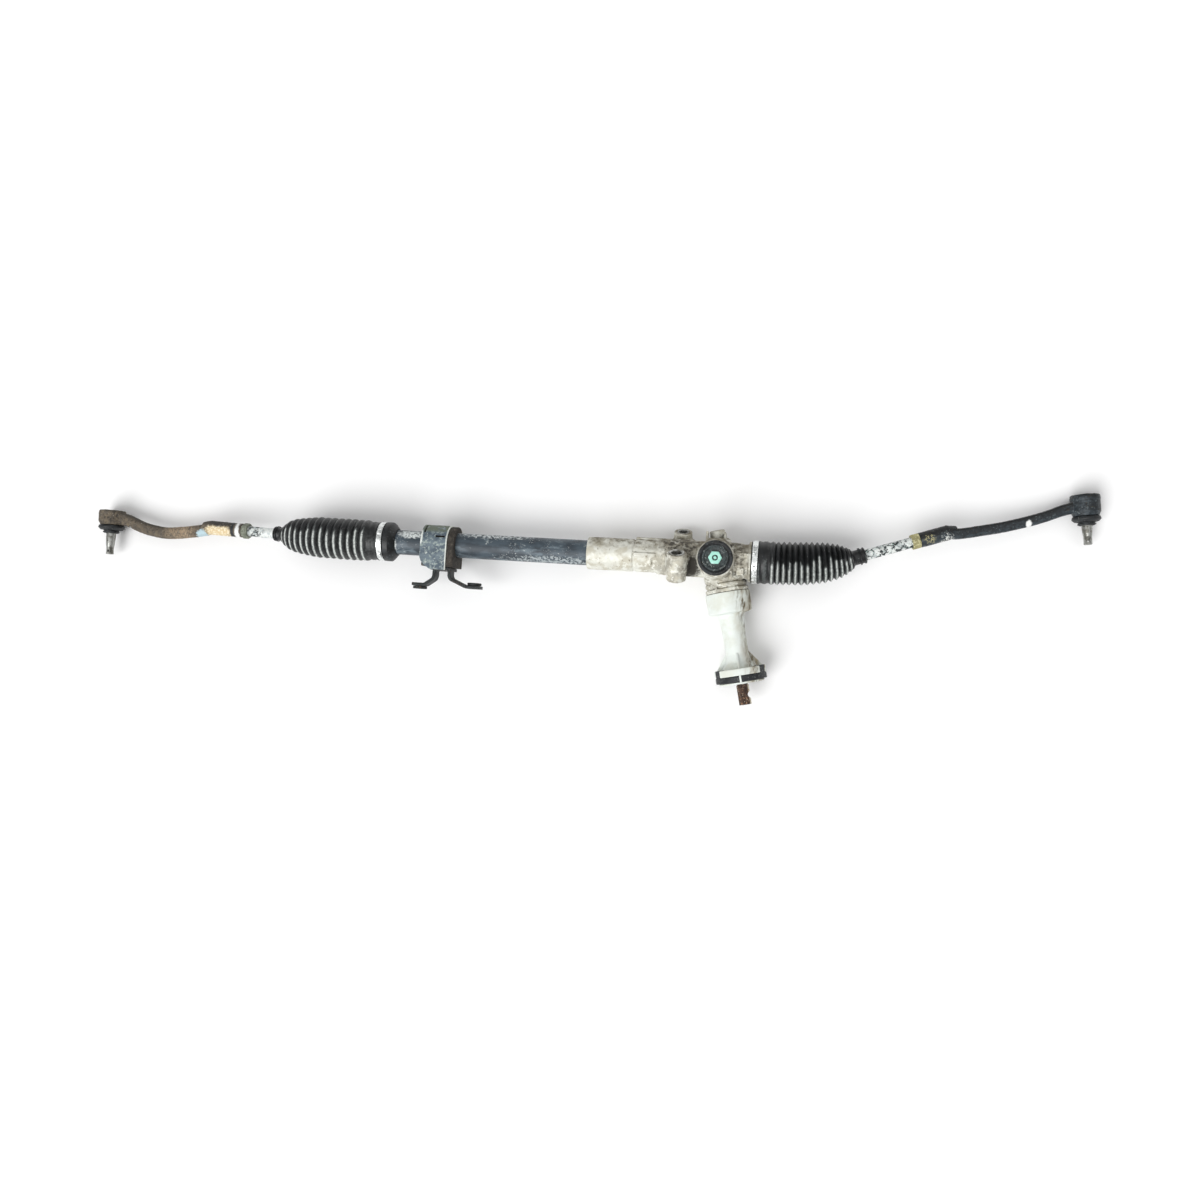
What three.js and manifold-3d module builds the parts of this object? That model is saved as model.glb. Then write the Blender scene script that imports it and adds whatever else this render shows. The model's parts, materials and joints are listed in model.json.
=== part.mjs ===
// A rack-and-pinion steering gear for a small car, complete with both tie rods, in millimetres.
// The gear lies on its back: +X runs along the rack, +Z is up and out of the yoke plug, and the
// input shaft and both ball studs point towards -Y. The pinion lies under the rack.
import * as THREE from "three";
import { mergeVertices } from "three/addons/utils/BufferGeometryUtils.js";
import Module from "manifold-3d";

const wasm = await Module();
wasm.setup();

// Clearance between neighbouring pieces, and between the faceted balls and their seats.
const GAP = 0.3;
const BALL_GAP = 0.5;

// Facets around large, middling and small round pieces.
const LARGE = 20;
const MEDIUM = 15;
const SMALL = 14;

// Teeth. The rack's teeth slope by the pinion's helix less the tilt of the pinion's axis.
const NORMAL_MODULE = 1.9;
const PINION_TEETH = 7;
const HELIX = rad(28);
const PINION_TILT = rad(12.8);
const PRESSURE_ANGLE = rad(20);
const RACK_SLOPE = HELIX - PINION_TILT;
const PITCH_RADIUS = (NORMAL_MODULE * PINION_TEETH) / (2 * Math.cos(HELIX));
const RACK_ADDENDUM = 1.05;
const PINION_ADDENDUM = 2.45;
const ROOT_CLEARANCE = 0.4;
const TOOTH_THICKNESS = 3.96; // of the pinion, at the pitch circle, before the backlash
const BACKLASH = 0.24;
const RACK_TOOTH_COUNT = 24;
const PINION_FACE = 28;

// Rack, its supports and its travel. Lengths along the rack count from the yoke's axis.
const RACK_RADIUS = 11.5;
const RACK_TIP_DEPTH = 8.4; // from the rack's axis to the tips of its teeth
const GEAR_MIDDLE = -182; // halfway between the two inner ball joints
const BALL_REACH = 308; // from there to either inner ball's centre
const SOCKET_DEPTH = 17; // from an inner ball's centre to its socket's shoulder
const WASHER_THICKNESS = 1.6;
const RACK_TRAVEL = 64; // each way, until a lock washer meets its stop
const STOP_REACH = BALL_REACH - SOCKET_DEPTH - WASHER_THICKNESS - RACK_TRAVEL;
const CUP_REACH = 235; // from the middle to the casing's open end, and to the tube collar's
const BAND_REACH = 227; // from the middle to a boot's large clamp

// Pinion.
const MESH_X = 5.8; // where the pinion's axis passes under the rack's axis
const PINION_DEPTH = RACK_TIP_DEPTH - RACK_ADDENDUM + PITCH_RADIUS;
const NECK_END = 37.8; // along the pinion's axis, from under the rack to the neck's face
const SPIGOT_END = 48;
const COVER_FLANGE = 128.9;
const COVER_FLANGE_RADIUS = 30.8;
const GASKET_START = 137.4;
const GASKET_END = 144.4;
const COVER_END = 147.2;
const SHAFT_END = 172.5;
const SHAFT_RADIUS = 7.4;

// Tube and housing.
const TUBE_RADIUS = 15;
const TUBE_BORE = 13;
const SLEEVE_START = -153.8;
const SLEEVE_RADIUS = 19.4;
const TUBE_SEAT = -124; // the tube's end inside the sleeve
const YOKE_TOWER_TOP = 32.2;
const YOKE_RADIUS = 14;
const LUG_TILT = rad(27); // of the mounting bolts, up from the rack's own plane
const LUG_OFFSET = 33; // of a bolt from the rack's axis
const LUG_TOP = 20.5;
const LUG_BOTTOM = -13.5;
const FRONT_LUG = { x: -44.5, y: -LUG_OFFSET, radius: 11.5, sleeve: 9.2, hole: 6.2 };
const REAR_LUG = { x: -43.2, y: LUG_OFFSET, radius: 11, sleeve: 7.4, hole: 5.2 };

// Bracket and its rubber bush on the tube.
const BRACKET_LEFT = -356.5;
const BRACKET_RIGHT = -323.5;
const BUSH_RIGHT = -315;
const STRAP_RADIUS = 23.4;
const STRAP_THICKNESS = 3;
const STRAP_FOOT = -31.5;
const FOOT_LEVEL = -50;
const FOOT_THICKNESS = 3.8;
const FOOT_HALF_WIDTH = 9.2;
const FOOT_HOLES = [-359.6, -291.5];
const FOOT_HOLE_RADIUS = 5.5;

// Ball joints.
const INNER_BALL = 11;
const OUTER_BALL = 8.5;
const ROD_RADIUS = 6.4;
const SEAT_WALL = 1.5;
const BALL_HOUSING_RADIUS = 16.6;
const FLOOR_DROP = 29.2; // an outer ball's centre hangs this far below the rack's axis

// One tie rod each side. Distances run from the inner ball's centre along the rod, offsets towards +Y.
const SIDES = [
  {
    name: "left",
    direction: -1,
    swing: rad(2.3),
    outerBall: [301.5, -1.2],
    studLean: rad(0.2),
    studLength: 45.5,
    nut: [100.5, 108.8],
    nutTurn: 0,
    socketEnd: 162,
    armRadius: 7.6,
    arm: [[152, -0.5], [176, -6.4], [213, -11.9], [236, -11], [255, -7.6], [279, -0.3], [299, 0.5]],
    capSide: 11.5,
    cuffSeat: 20.6,
    boot: [[-60, 25], [-38, 25.6], [1, 25.2], [28, 21.8], [42, 17.5], [52, 10]],
    bootTip: [54, 64, 8.2],
  },
  {
    name: "right",
    direction: 1,
    swing: rad(19),
    outerBall: [305.6, -16.3],
    studLean: rad(6.7),
    studLength: 40.5,
    nut: [103.5, 113],
    nutTurn: rad(30),
    socketEnd: 154,
    armRadius: 6.3,
    arm: [[145, -1], [160, -4.8], [183, -7.8], [216, -11], [255, -11.7], [280, -10], [303, -10.5]],
    capSide: 17.5,
    cuffSeat: 22.2,
    boot: [[-60, 25.6], [-23, 25.7], [0, 23.6], [16.5, 19.8], [31, 12.5]],
    bootTip: [34, 48, 8.7],
  },
];

const X = new THREE.Vector3(1, 0, 0);
const Y = new THREE.Vector3(0, 1, 0);
const Z = new THREE.Vector3(0, 0, 1);

const FINISHES = {
  castAluminium: [0xb9b5a6, 0.62, 0.7],
  machinedAluminium: [0xc4c6c4, 0.4, 0.85],
  paintedTube: [0x3d4a56, 0.55, 0.3],
  blackSteel: [0x1d1f21, 0.5, 0.5],
  bracketPaint: [0x5f7180, 0.55, 0.3],
  brightSteel: [0xb4b6b8, 0.35, 0.95],
  hardenedSteel: [0x85888c, 0.3, 0.95],
  rustySteel: [0x6b5648, 0.85, 0.4],
  darkSteel: [0x2b3338, 0.6, 0.5],
  rubber: [0x17181a, 0.85, 0],
  bushRubber: [0x2a251f, 0.9, 0],
  whitePlastic: [0xe6e9e2, 0.5, 0],
  greenPlastic: [0xa9d6c4, 0.5, 0],
  acetal: [0xd9d4c0, 0.45, 0],
};

function rad(value) {
  return THREE.MathUtils.degToRad(value);
}

// The closed solid of a geometry, its shared corners merged and its faces turned outwards.
function solid(geometry, matrix) {
  const bare = geometry.clone();
  bare.deleteAttribute("normal");
  bare.deleteAttribute("uv");
  if (matrix) bare.applyMatrix4(matrix);
  const merged = mergeVertices(bare, 1e-4);
  const vertProperties = merged.attributes.position.array;
  const corners = merged.index.array;
  const facing = [];
  const turned = [];
  for (let i = 0; i < corners.length; i += 3) {
    const [a, b, c] = [corners[i], corners[i + 1], corners[i + 2]];
    if (a === b || b === c || c === a) continue;
    facing.push(a, b, c);
    turned.push(a, c, b);
  }
  const build = (list) => {
    const triVerts = new Uint32Array(list);
    return new wasm.Manifold(new wasm.Mesh({ numProp: 3, vertProperties, triVerts }));
  };
  const made = build(facing);
  return made.volume() > 0 ? made : build(turned);
}

// A named mesh of a solid.
function node(name, body, finish) {
  const made = body.getMesh();
  const geometry = new THREE.BufferGeometry();
  geometry.setAttribute("position", new THREE.BufferAttribute(made.vertProperties, 3));
  geometry.setIndex(new THREE.BufferAttribute(made.triVerts, 1));
  geometry.computeVertexNormals();
  const [color, roughness, metalness] = FINISHES[finish];
  const material = new THREE.MeshStandardMaterial({ color, roughness, metalness });
  const mesh = new THREE.Mesh(geometry, material);
  mesh.name = name;
  return mesh;
}

// A solid of revolution about X from [along, radius] points.
function turned(profile, segments) {
  const points = profile.map(([along, radius]) => new THREE.Vector2(radius, along));
  const aboutX = new THREE.Matrix4().makeRotationZ(-Math.PI / 2);
  return solid(new THREE.LatheGeometry(points, segments), aboutX);
}

// A tube or washer about X.
function ring(from, to, inner, outer, segments) {
  return turned([[from, inner], [from, outer], [to, outer], [to, inner], [from, inner]], segments);
}

// A plain cylinder about X.
function rod(from, to, radius, segments) {
  return turned([[from, 0], [from, radius], [to, radius], [to, 0]], segments);
}

// A rectangular block between two corners.
function block(low, high) {
  const size = high.map((value, i) => value - low[i]);
  const middle = high.map((value, i) => (value + low[i]) / 2);
  const place = new THREE.Matrix4().makeTranslation(...middle);
  return solid(new THREE.BoxGeometry(...size), place);
}

// Points of a circle about the origin, as [along, radius], between two angles from +X in degrees.
function arc(radius, from, to, steps) {
  const points = [];
  for (let i = 0; i <= steps; i += 1) {
    const angle = rad(from + ((to - from) * i) / steps);
    points.push([radius * Math.cos(angle), radius * Math.sin(angle)]);
  }
  return points;
}

// A flat outline as a shape.
function outline(points) {
  return new THREE.Shape(points.map(([a, b]) => new THREE.Vector2(a, b)));
}

// A prism of an outline drawn along two directions, starting at a distance along their cross product.
function prism(shape, first, second, start, length) {
  const along = new THREE.Vector3().crossVectors(first, second);
  const geometry = new THREE.ExtrudeGeometry(shape, { depth: length, bevelEnabled: false, steps: 1 });
  const place = new THREE.Matrix4().makeBasis(first, second, along);
  place.setPosition(along.clone().multiplyScalar(start));
  return solid(geometry, place);
}

// The outline of a bent plate of one thickness about a line of points.
function plate(points, thickness) {
  const line = points.map(([a, b]) => new THREE.Vector2(a, b));
  const sides = [[], []];
  line.forEach((point, i) => {
    const before = line[Math.max(i - 1, 0)];
    const after = line[Math.min(i + 1, line.length - 1)];
    const arriving = i > 0 ? point.clone().sub(before).normalize() : null;
    const leaving = i < line.length - 1 ? after.clone().sub(point).normalize() : null;
    const heading = (arriving || leaving).clone().add(leaving || arriving).normalize();
    const stretch = heading.dot(arriving || leaving);
    const reach = thickness / 2 / stretch;
    const across = new THREE.Vector2(-heading.y, heading.x).multiplyScalar(reach);
    sides[0].push(point.clone().add(across));
    sides[1].unshift(point.clone().sub(across));
  });
  return new THREE.Shape([...sides[0], ...sides[1]]);
}

// A group at a place, with its own X along one direction and its Y along another.
function frame(origin, xDirection, yDirection) {
  const zDirection = new THREE.Vector3().crossVectors(xDirection, yDirection);
  const turn = new THREE.Matrix4().makeBasis(xDirection, yDirection, zDirection);
  const group = new THREE.Group();
  group.quaternion.setFromRotationMatrix(turn);
  group.position.copy(origin);
  group.updateMatrix();
  return group;
}

// The pinion's frame: X along its axis towards the input end, Y straight up to the rack.
function pinionFrame() {
  const axis = new THREE.Vector3(Math.sin(PINION_TILT), -Math.cos(PINION_TILT), 0);
  return frame(new THREE.Vector3(MESH_X, 0, -PINION_DEPTH), axis, Z);
}

// The mounting bolts' frame: Z along the bolts towards their heads, Y from the front lug to the rear.
function lugFrame() {
  const across = new THREE.Vector3(0, Math.sin(LUG_TILT), -Math.cos(LUG_TILT));
  return frame(new THREE.Vector3(), X, across);
}

// The yoke's frame: X up the yoke's axis.
function yokeFrame() {
  return frame(new THREE.Vector3(), Z, X);
}

// ---- Rack and pinion ----

// The space under the rack's tooth line, to be cut from the bar.
function toothCutter() {
  const normalPitch = Math.PI * NORMAL_MODULE;
  const pitch = normalPitch / Math.cos(RACK_SLOPE);
  const pitchTooth = ((Math.PI * NORMAL_MODULE) / Math.cos(HELIX) - TOOTH_THICKNESS) * Math.cos(HELIX);
  const flank = Math.tan(PRESSURE_ANGLE);
  const toothRoot = pitchTooth / 2 + (PINION_ADDENDUM + ROOT_CLEARANCE) * flank;
  const toothTip = pitchTooth / 2 - RACK_ADDENDUM * flank;
  const rootGap = (normalPitch / 2 - toothRoot) / Math.cos(RACK_SLOPE);
  const tipGap = (normalPitch / 2 - toothTip) / Math.cos(RACK_SLOPE);
  const tip = -RACK_TIP_DEPTH;
  const root = tip + RACK_ADDENDUM + PINION_ADDENDUM + ROOT_CLEARANCE;
  const line = [];
  for (let i = 0; i <= RACK_TOOTH_COUNT; i += 1) {
    const middle = MESH_X + (i - RACK_TOOTH_COUNT / 2) * pitch;
    line.push([middle - tipGap, tip], [middle - rootGap, root]);
    line.push([middle + rootGap, root], [middle + tipGap, tip]);
  }
  const runOut = 3;
  const below = -RACK_RADIUS - 2;
  const right = line[line.length - 1][0] + runOut;
  const left = line[0][0] - runOut;
  line.push([right, tip], [right, below], [left, below], [left, tip]);
  const width = RACK_RADIUS + 2;
  const geometry = new THREE.ExtrudeGeometry(outline(line), {
    depth: 2 * width,
    bevelEnabled: false,
    steps: 1,
  });
  const place = new THREE.Matrix4().makeBasis(X, Z, Y.clone().negate());
  place.setPosition(0, width, 0);
  const slope = new THREE.Matrix4().makeShear(0, 0, Math.tan(RACK_SLOPE), 0, 0, 0);
  return solid(geometry, slope.multiply(place));
}

function rackBar() {
  const reach = BALL_REACH - SOCKET_DEPTH - WASHER_THICKNESS - GAP;
  const chamfer = 1;
  const profile = [
    [GEAR_MIDDLE - reach, 0],
    [GEAR_MIDDLE - reach, RACK_RADIUS - chamfer],
    [GEAR_MIDDLE - reach + chamfer, RACK_RADIUS],
    [GEAR_MIDDLE + reach - chamfer, RACK_RADIUS],
    [GEAR_MIDDLE + reach, RACK_RADIUS - chamfer],
    [GEAR_MIDDLE + reach, 0],
  ];
  let bar = turned(profile, LARGE).subtract(toothCutter());
  const boreDepth = 18;
  for (const side of [-1, 1]) {
    const end = GEAR_MIDDLE + side * (reach + 1);
    const ends = [end, end - side * (boreDepth + 1)].sort((a, b) => a - b);
    bar = bar.subtract(rod(...ends, 7, SMALL));
  }
  return bar;
}

// Half the angle that a pinion tooth fills at a radius.
function halfToothAngle(radius, pressure, baseRadius) {
  const involute = (angle) => Math.tan(angle) - angle;
  const atRadius = Math.acos(Math.min(1, baseRadius / radius));
  const atPitch = (TOOTH_THICKNESS - BACKLASH) / (2 * PITCH_RADIUS);
  return atPitch + involute(pressure) - involute(atRadius);
}

function pinionTeeth() {
  const pressure = Math.atan(Math.tan(PRESSURE_ANGLE) / Math.cos(HELIX));
  const baseRadius = PITCH_RADIUS * Math.cos(pressure);
  const tipRadius = PITCH_RADIUS + PINION_ADDENDUM;
  const rootRadius = PITCH_RADIUS - RACK_ADDENDUM - ROOT_CLEARANCE;
  const flankSteps = 2;
  const flank = [[rootRadius, halfToothAngle(baseRadius, pressure, baseRadius)]];
  for (let i = 0; i <= flankSteps; i += 1) {
    const radius = baseRadius + ((tipRadius - baseRadius) * i) / flankSteps;
    flank.push([radius, halfToothAngle(radius, pressure, baseRadius)]);
  }
  const points = [];
  for (let tooth = 0; tooth < PINION_TEETH; tooth += 1) {
    const middle = (tooth * 2 * Math.PI) / PINION_TEETH;
    const rising = flank.map(([radius, half]) => [radius, middle - half]);
    const falling = [...flank].reverse().map(([radius, half]) => [radius, middle + half]);
    for (const [radius, angle] of [...rising, ...falling]) {
      points.push([radius * Math.cos(angle), radius * Math.sin(angle)]);
    }
  }
  const geometry = new THREE.ExtrudeGeometry(outline(points), {
    depth: PINION_FACE,
    bevelEnabled: false,
    steps: 7,
  });
  const position = geometry.attributes.position;
  const twist = Math.tan(HELIX) / PITCH_RADIUS;
  const point = new THREE.Vector3();
  for (let i = 0; i < position.count; i += 1) {
    point.fromBufferAttribute(position, i);
    point.z -= PINION_FACE / 2;
    point.applyAxisAngle(Z, twist * point.z);
    position.setXYZ(i, point.x, point.y, point.z);
  }
  return solid(geometry, new THREE.Matrix4().makeBasis(Y, Z, X));
}

// The serrated input end, with its notch for the clamp bolt.
function inputSerrations() {
  const count = 18;
  const depth = 0.55;
  const points = [];
  for (let i = 0; i < 2 * count; i += 1) {
    const radius = SHAFT_RADIUS - (i % 2) * depth;
    const angle = (i * Math.PI) / count;
    points.push([radius * Math.cos(angle), radius * Math.sin(angle)]);
  }
  const start = COVER_END + 2;
  return prism(outline(points), Y, Z, start, SHAFT_END - start);
}

function pinionShaft() {
  const face = PINION_FACE / 2;
  const profile = [
    [-30, 0],
    [-30, 5],
    [-29.5, 5.5],
    [-face - 1, 5.5],
    [-face - 1, 6],
    [face + 1, 6],
    [face + 1, 9.6],
    [17.2, 9.6],
    [17.2, 8.5],
    [29, 8.5],
    [29, 8],
    [COVER_FLANGE, 7.8],
    [COVER_END - 2, SHAFT_RADIUS - 0.7],
    [COVER_END + 4, SHAFT_RADIUS - 0.7],
    [COVER_END + 4, 0],
  ];
  const notchAt = SHAFT_END - 11;
  const notchRadius = 4.3;
  const acrossShaft = new THREE.Matrix4().makeRotationZ(Math.PI / 2);
  acrossShaft.setPosition(notchAt, 0, -SHAFT_RADIUS - 1.2);
  const notch = rod(-10, 10, notchRadius, SMALL).transform(acrossShaft.elements);
  return turned(profile, MEDIUM).add(pinionTeeth()).add(inputSerrations()).subtract(notch);
}

// ---- Housing ----

function lugWeb(lug, rootLeft, rootRight) {
  const tip = lug.y;
  const shape = outline([
    [rootLeft, 0],
    [lug.x - lug.radius, tip],
    [lug.x + lug.radius, tip],
    [rootRight, 0],
  ]);
  const underside = -6;
  const topSide = 13;
  return prism(shape, X, Y, underside, topSide - underside);
}

// A boss or hole along the mounting bolts, in their frame.
function lugCylinder(lug, from, to, radius, segments) {
  const aboutZ = new THREE.Matrix4().makeRotationY(-Math.PI / 2);
  aboutZ.setPosition(lug.x, lug.y, 0);
  return rod(from, to, radius, segments).transform(aboutZ.elements);
}

function lugs() {
  const boss = (lug) => lugCylinder(lug, LUG_BOTTOM, LUG_TOP, lug.radius, MEDIUM);
  return lugWeb(FRONT_LUG, -66, -24)
    .add(lugWeb(REAR_LUG, -62, -12))
    .add(boss(FRONT_LUG))
    .add(boss(REAR_LUG))
    .transform(lugFrame().matrix.elements);
}

function lugHoles() {
  const hole = (lug) => lugCylinder(lug, LUG_BOTTOM - 1, LUG_TOP + 1, lug.sleeve + GAP, SMALL);
  return hole(FRONT_LUG).add(hole(REAR_LUG)).transform(lugFrame().matrix.elements);
}

function rackCasing() {
  const rightEnd = GEAR_MIDDLE + CUP_REACH;
  return turned(
    [
      [SLEEVE_START, 0],
      [SLEEVE_START, SLEEVE_RADIUS - 0.8],
      [SLEEVE_START + 1, SLEEVE_RADIUS],
      [-99, SLEEVE_RADIUS],
      [-98.4, 18.2],
      [-96.8, 18.2],
      [-96.4, 19],
      [-70, 19],
      [-62, 21.5],
      [28, 21.5],
      [33, 20],
      [37.2, 20.4],
      [38, 23.6],
      [40.8, 23.6],
      [40.8, SIDES[1].cuffSeat],
      [rightEnd - 1, SIDES[1].cuffSeat],
      [rightEnd, SIDES[1].cuffSeat - 1],
      [rightEnd, 0],
    ],
    LARGE,
  );
}

function rackBore() {
  const start = SLEEVE_START - 1;
  const rightStop = GEAR_MIDDLE + STOP_REACH - GAP;
  const rightEnd = GEAR_MIDDLE + CUP_REACH + 1;
  return turned(
    [
      [start, 0],
      [start, TUBE_RADIUS + GAP],
      [TUBE_SEAT, TUBE_RADIUS + GAP],
      [TUBE_SEAT, 12.8],
      [rightStop, 12.8],
      [rightStop, 17.5],
      [rightEnd, 17.5],
      [rightEnd, 0],
    ],
    LARGE,
  );
}

// Outside of the pinion's case: the blind end's boss, the case, the ribbed neck and its spigot.
function pinionCasing() {
  return turned(
    [
      [-37, 0],
      [-37, 8],
      [-36, 9],
      [-27, 9.5],
      [-24, 14],
      [-2, 17],
      [6, 24.6],
      [24, 24.6],
      [24.6, 23.6],
      [26.4, 23.6],
      [27, 24.8],
      [30.4, 24.8],
      [31, 23.6],
      [32.8, 23.6],
      [33.4, 25.4],
      [NECK_END, 25.4],
      [NECK_END, 23.9],
      [SPIGOT_END, 23.9],
      [SPIGOT_END, 0],
    ],
    LARGE,
  );
}

function pinionBore() {
  return turned(
    [
      [-31, 0],
      [-31, 8.8],
      [-15.5, 8.8],
      [-15.5, 11],
      [17, 11],
      [17, 17.8],
      [29, 17.8],
      [29, 21.9],
      [SPIGOT_END + 1, 21.9],
      [SPIGOT_END + 1, 0],
    ],
    LARGE,
  );
}

function yokeTower() {
  const chamfer = 1.5;
  return turned(
    [
      [0, 0],
      [0, 22],
      [YOKE_TOWER_TOP - chamfer, 22],
      [YOKE_TOWER_TOP, 22 - chamfer],
      [YOKE_TOWER_TOP, 0],
    ],
    LARGE,
  );
}

function yokeBore() {
  const thread = 26.6;
  return turned(
    [
      [0, 0],
      [0, YOKE_RADIUS + GAP],
      [thread, YOKE_RADIUS + GAP],
      [thread, 15.8],
      [YOKE_TOWER_TOP + 1, 15.8],
      [YOKE_TOWER_TOP + 1, 0],
    ],
    LARGE,
  );
}

// Cast ribs: the parting line on the casing, four braces under the yoke's tower, and a cast pad.
function housingRibs() {
  const parting = block([-97, -2.4, 16], [-64, 2.4, 20.2]);
  const rear = block([-97, 17.4, -2.2], [-30, 22.2, 2.2]);
  const brace = block([-62, -1.8, 12], [-16, 1.8, 22.6]);
  const cross = block([-2, -34, -6], [2.4, 24, 8]);
  const pad = block([24.5, -17.5, 12], [33, -9, 20.6]);
  return parting.add(rear).add(brace).add(cross).add(pad);
}

function gearHousing() {
  const pinion = pinionFrame().matrix.elements;
  const yoke = yokeFrame().matrix.elements;
  return rackCasing()
    .add(pinionCasing().transform(pinion))
    .add(yokeTower().transform(yoke))
    .add(lugs())
    .add(housingRibs())
    .subtract(rackBore())
    .subtract(pinionBore().transform(pinion))
    .subtract(yokeBore().transform(yoke))
    .subtract(lugHoles());
}

function tubeEndCollar() {
  const end = GEAR_MIDDLE - CUP_REACH;
  const seat = GEAR_MIDDLE - STOP_REACH;
  return turned(
    [
      [end, 17.5],
      [end, SIDES[0].cuffSeat - 1],
      [end + 1, SIDES[0].cuffSeat],
      [-404.8, SIDES[0].cuffSeat],
      [-404.8, 23],
      [-403.6, 24],
      [-398, 24],
      [-396, 22.4],
      [-391, 16.6],
      [-391, TUBE_RADIUS + GAP],
      [seat + GAP, TUBE_RADIUS + GAP],
      [seat + GAP, 17.5],
      [end, 17.5],
    ],
    LARGE,
  );
}

// ---- Yoke ----

function rackYoke() {
  const groove = [20, 22.4];
  const body = turned(
    [
      [2, 0],
      [2, YOKE_RADIUS],
      [groove[0], YOKE_RADIUS],
      [groove[0], 12.4],
      [groove[1], 12.4],
      [groove[1], YOKE_RADIUS],
      [25, YOKE_RADIUS],
      [25, 9],
      [16, 9],
      [16, 0],
    ],
    LARGE,
  );
  const saddle = rod(-20, 20, 12.9, LARGE);
  const intoYoke = new THREE.Matrix4().makeBasis(Y, Z, X);
  return body.subtract(saddle.transform(intoYoke.elements));
}

function yokeLiner() {
  const wide = rad(52);
  const inner = RACK_RADIUS + GAP;
  const outer = inner + 0.8;
  const shape = new THREE.Shape();
  shape.absarc(0, 0, outer, Math.PI / 2 - wide, Math.PI / 2 + wide, false);
  shape.absarc(0, 0, inner, Math.PI / 2 + wide, Math.PI / 2 - wide, true);
  const geometry = new THREE.ExtrudeGeometry(shape, {
    depth: 18,
    bevelEnabled: false,
    curveSegments: 8,
    steps: 1,
  });
  return solid(geometry, new THREE.Matrix4().makeBasis(Y, Z, X).setPosition(-9, 0, 0));
}

class CoilCurve extends THREE.Curve {
  getPoint(t, target = new THREE.Vector3()) {
    const turns = 4;
    const radius = 6;
    const angle = 2 * Math.PI * turns * t;
    return target.set(18 + 7 * t, radius * Math.cos(angle), radius * Math.sin(angle));
  }
}

function yokeSpring() {
  const wire = new THREE.Shape();
  wire.absarc(0, 0, 0.8, 0, 2 * Math.PI, false);
  const geometry = new THREE.ExtrudeGeometry(wire, {
    extrudePath: new CoilCurve(),
    steps: 32,
    curveSegments: 2,
    bevelEnabled: false,
  });
  return solid(geometry);
}

function yokeORing() {
  const geometry = new THREE.TorusGeometry(13.35, 0.62, 4, LARGE);
  return solid(geometry, new THREE.Matrix4().makeRotationY(Math.PI / 2).setPosition(21.2, 0, 0));
}

function yokePlug() {
  const body = turned(
    [[27, 0], [27, 15.5], [37.8, 15.5], [38.4, 14.8], [38.4, 12.9], [35, 12.3], [35, 0]],
    LARGE,
  );
  const hexagon = turned([[34.5, 0], [34.5, 8], [39, 8], [39.6, 7.3], [39.6, 0]], 6);
  const socket = ring(36.2, 41, 1.7, 3.5, SMALL);
  return body.add(hexagon).subtract(socket);
}

function yokeLockNut() {
  const from = YOKE_TOWER_TOP + GAP;
  const to = 37.6;
  let nut = turned(
    [
      [from, 15.8],
      [from, 20.5],
      [to - 1, 20.5],
      [to, 19.6],
      [to, 15.8],
      [from, 15.8],
    ],
    LARGE,
  );
  const slots = 6;
  for (let i = 0; i < slots; i += 1) {
    const slot = block([from + 1.5, 18.6, -2], [to + 1, 22, 2]);
    nut = nut.subtract(slot.rotate([(360 / slots) * i + 15, 0, 0]));
  }
  return nut;
}

// ---- Cover over the neck ----

function coverFin(angle) {
  const shape = outline([[113, 9], [113, 14.8], [COVER_FLANGE + 0.5, 27.5], [COVER_FLANGE + 0.5, 9]]);
  return prism(shape, X, Y, -1.2, 2.4).rotate([angle, 0, 0]);
}

// The loop at one side of the gasket, and the notch in the flange that it stands in.
const EAR_LIFT = 30; // degrees above the flange's widest points

function earBlock(side, grow) {
  const near = 23.2 - grow;
  const far = COVER_FLANGE_RADIUS - 0.3 + grow;
  const from = COVER_FLANGE - 0.4 - grow;
  const low = [from, -5 - grow, Math.min(side * near, side * far)];
  const high = [GASKET_START + 1, 5 + grow, Math.max(side * near, side * far)];
  return block(low, high).rotate([-side * EAR_LIFT, 0, 0]);
}

function earHole(side, shrink, half) {
  const near = 25.4 + shrink;
  const far = 28.6 - shrink;
  const low = [COVER_FLANGE + 2.2 + shrink, -half, Math.min(side * near, side * far)];
  const high = [GASKET_START - 2.2 - shrink, half, Math.max(side * near, side * far)];
  return block(low, high).rotate([-side * EAR_LIFT, 0, 0]);
}

function pinionCover() {
  let cover = turned(
    [
      [NECK_END + GAP, 24.5],
      [NECK_END + GAP, 26.4],
      [42, 26.6],
      [61.5, 26],
      [63, 24.4],
      [64, 17],
      [68, 15.4],
      [89, 13.4],
      [112, 13.6],
      [121.5, 16],
      [COVER_FLANGE, 21.5],
      [COVER_FLANGE, COVER_FLANGE_RADIUS],
      [GASKET_START - GAP, COVER_FLANGE_RADIUS],
      [GASKET_START - GAP, 19],
      [GASKET_END + GAP, 19],
      [GASKET_END + GAP, 27.2],
      [COVER_END, 26.2],
      [COVER_END, 10.5],
      [70, 10.5],
      [61, 14],
      [56, 24.5],
      [NECK_END + GAP, 24.5],
    ],
    LARGE,
  );
  for (const angle of [0, 90, 180, 270]) cover = cover.add(coverFin(angle));
  return cover.subtract(rod(100, COVER_END + 1, 10.5, LARGE)).subtract(earBlock(-1, GAP)).subtract(earBlock(1, GAP));
}

function coverGasket() {
  let gasket = ring(GASKET_START, GASKET_END, 19.3, COVER_FLANGE_RADIUS - 0.5, LARGE);
  for (const side of [-1, 1]) gasket = gasket.add(earBlock(side, 0)).subtract(earHole(side, 0, 6));
  return gasket;
}

// ---- Bracket ----

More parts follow.
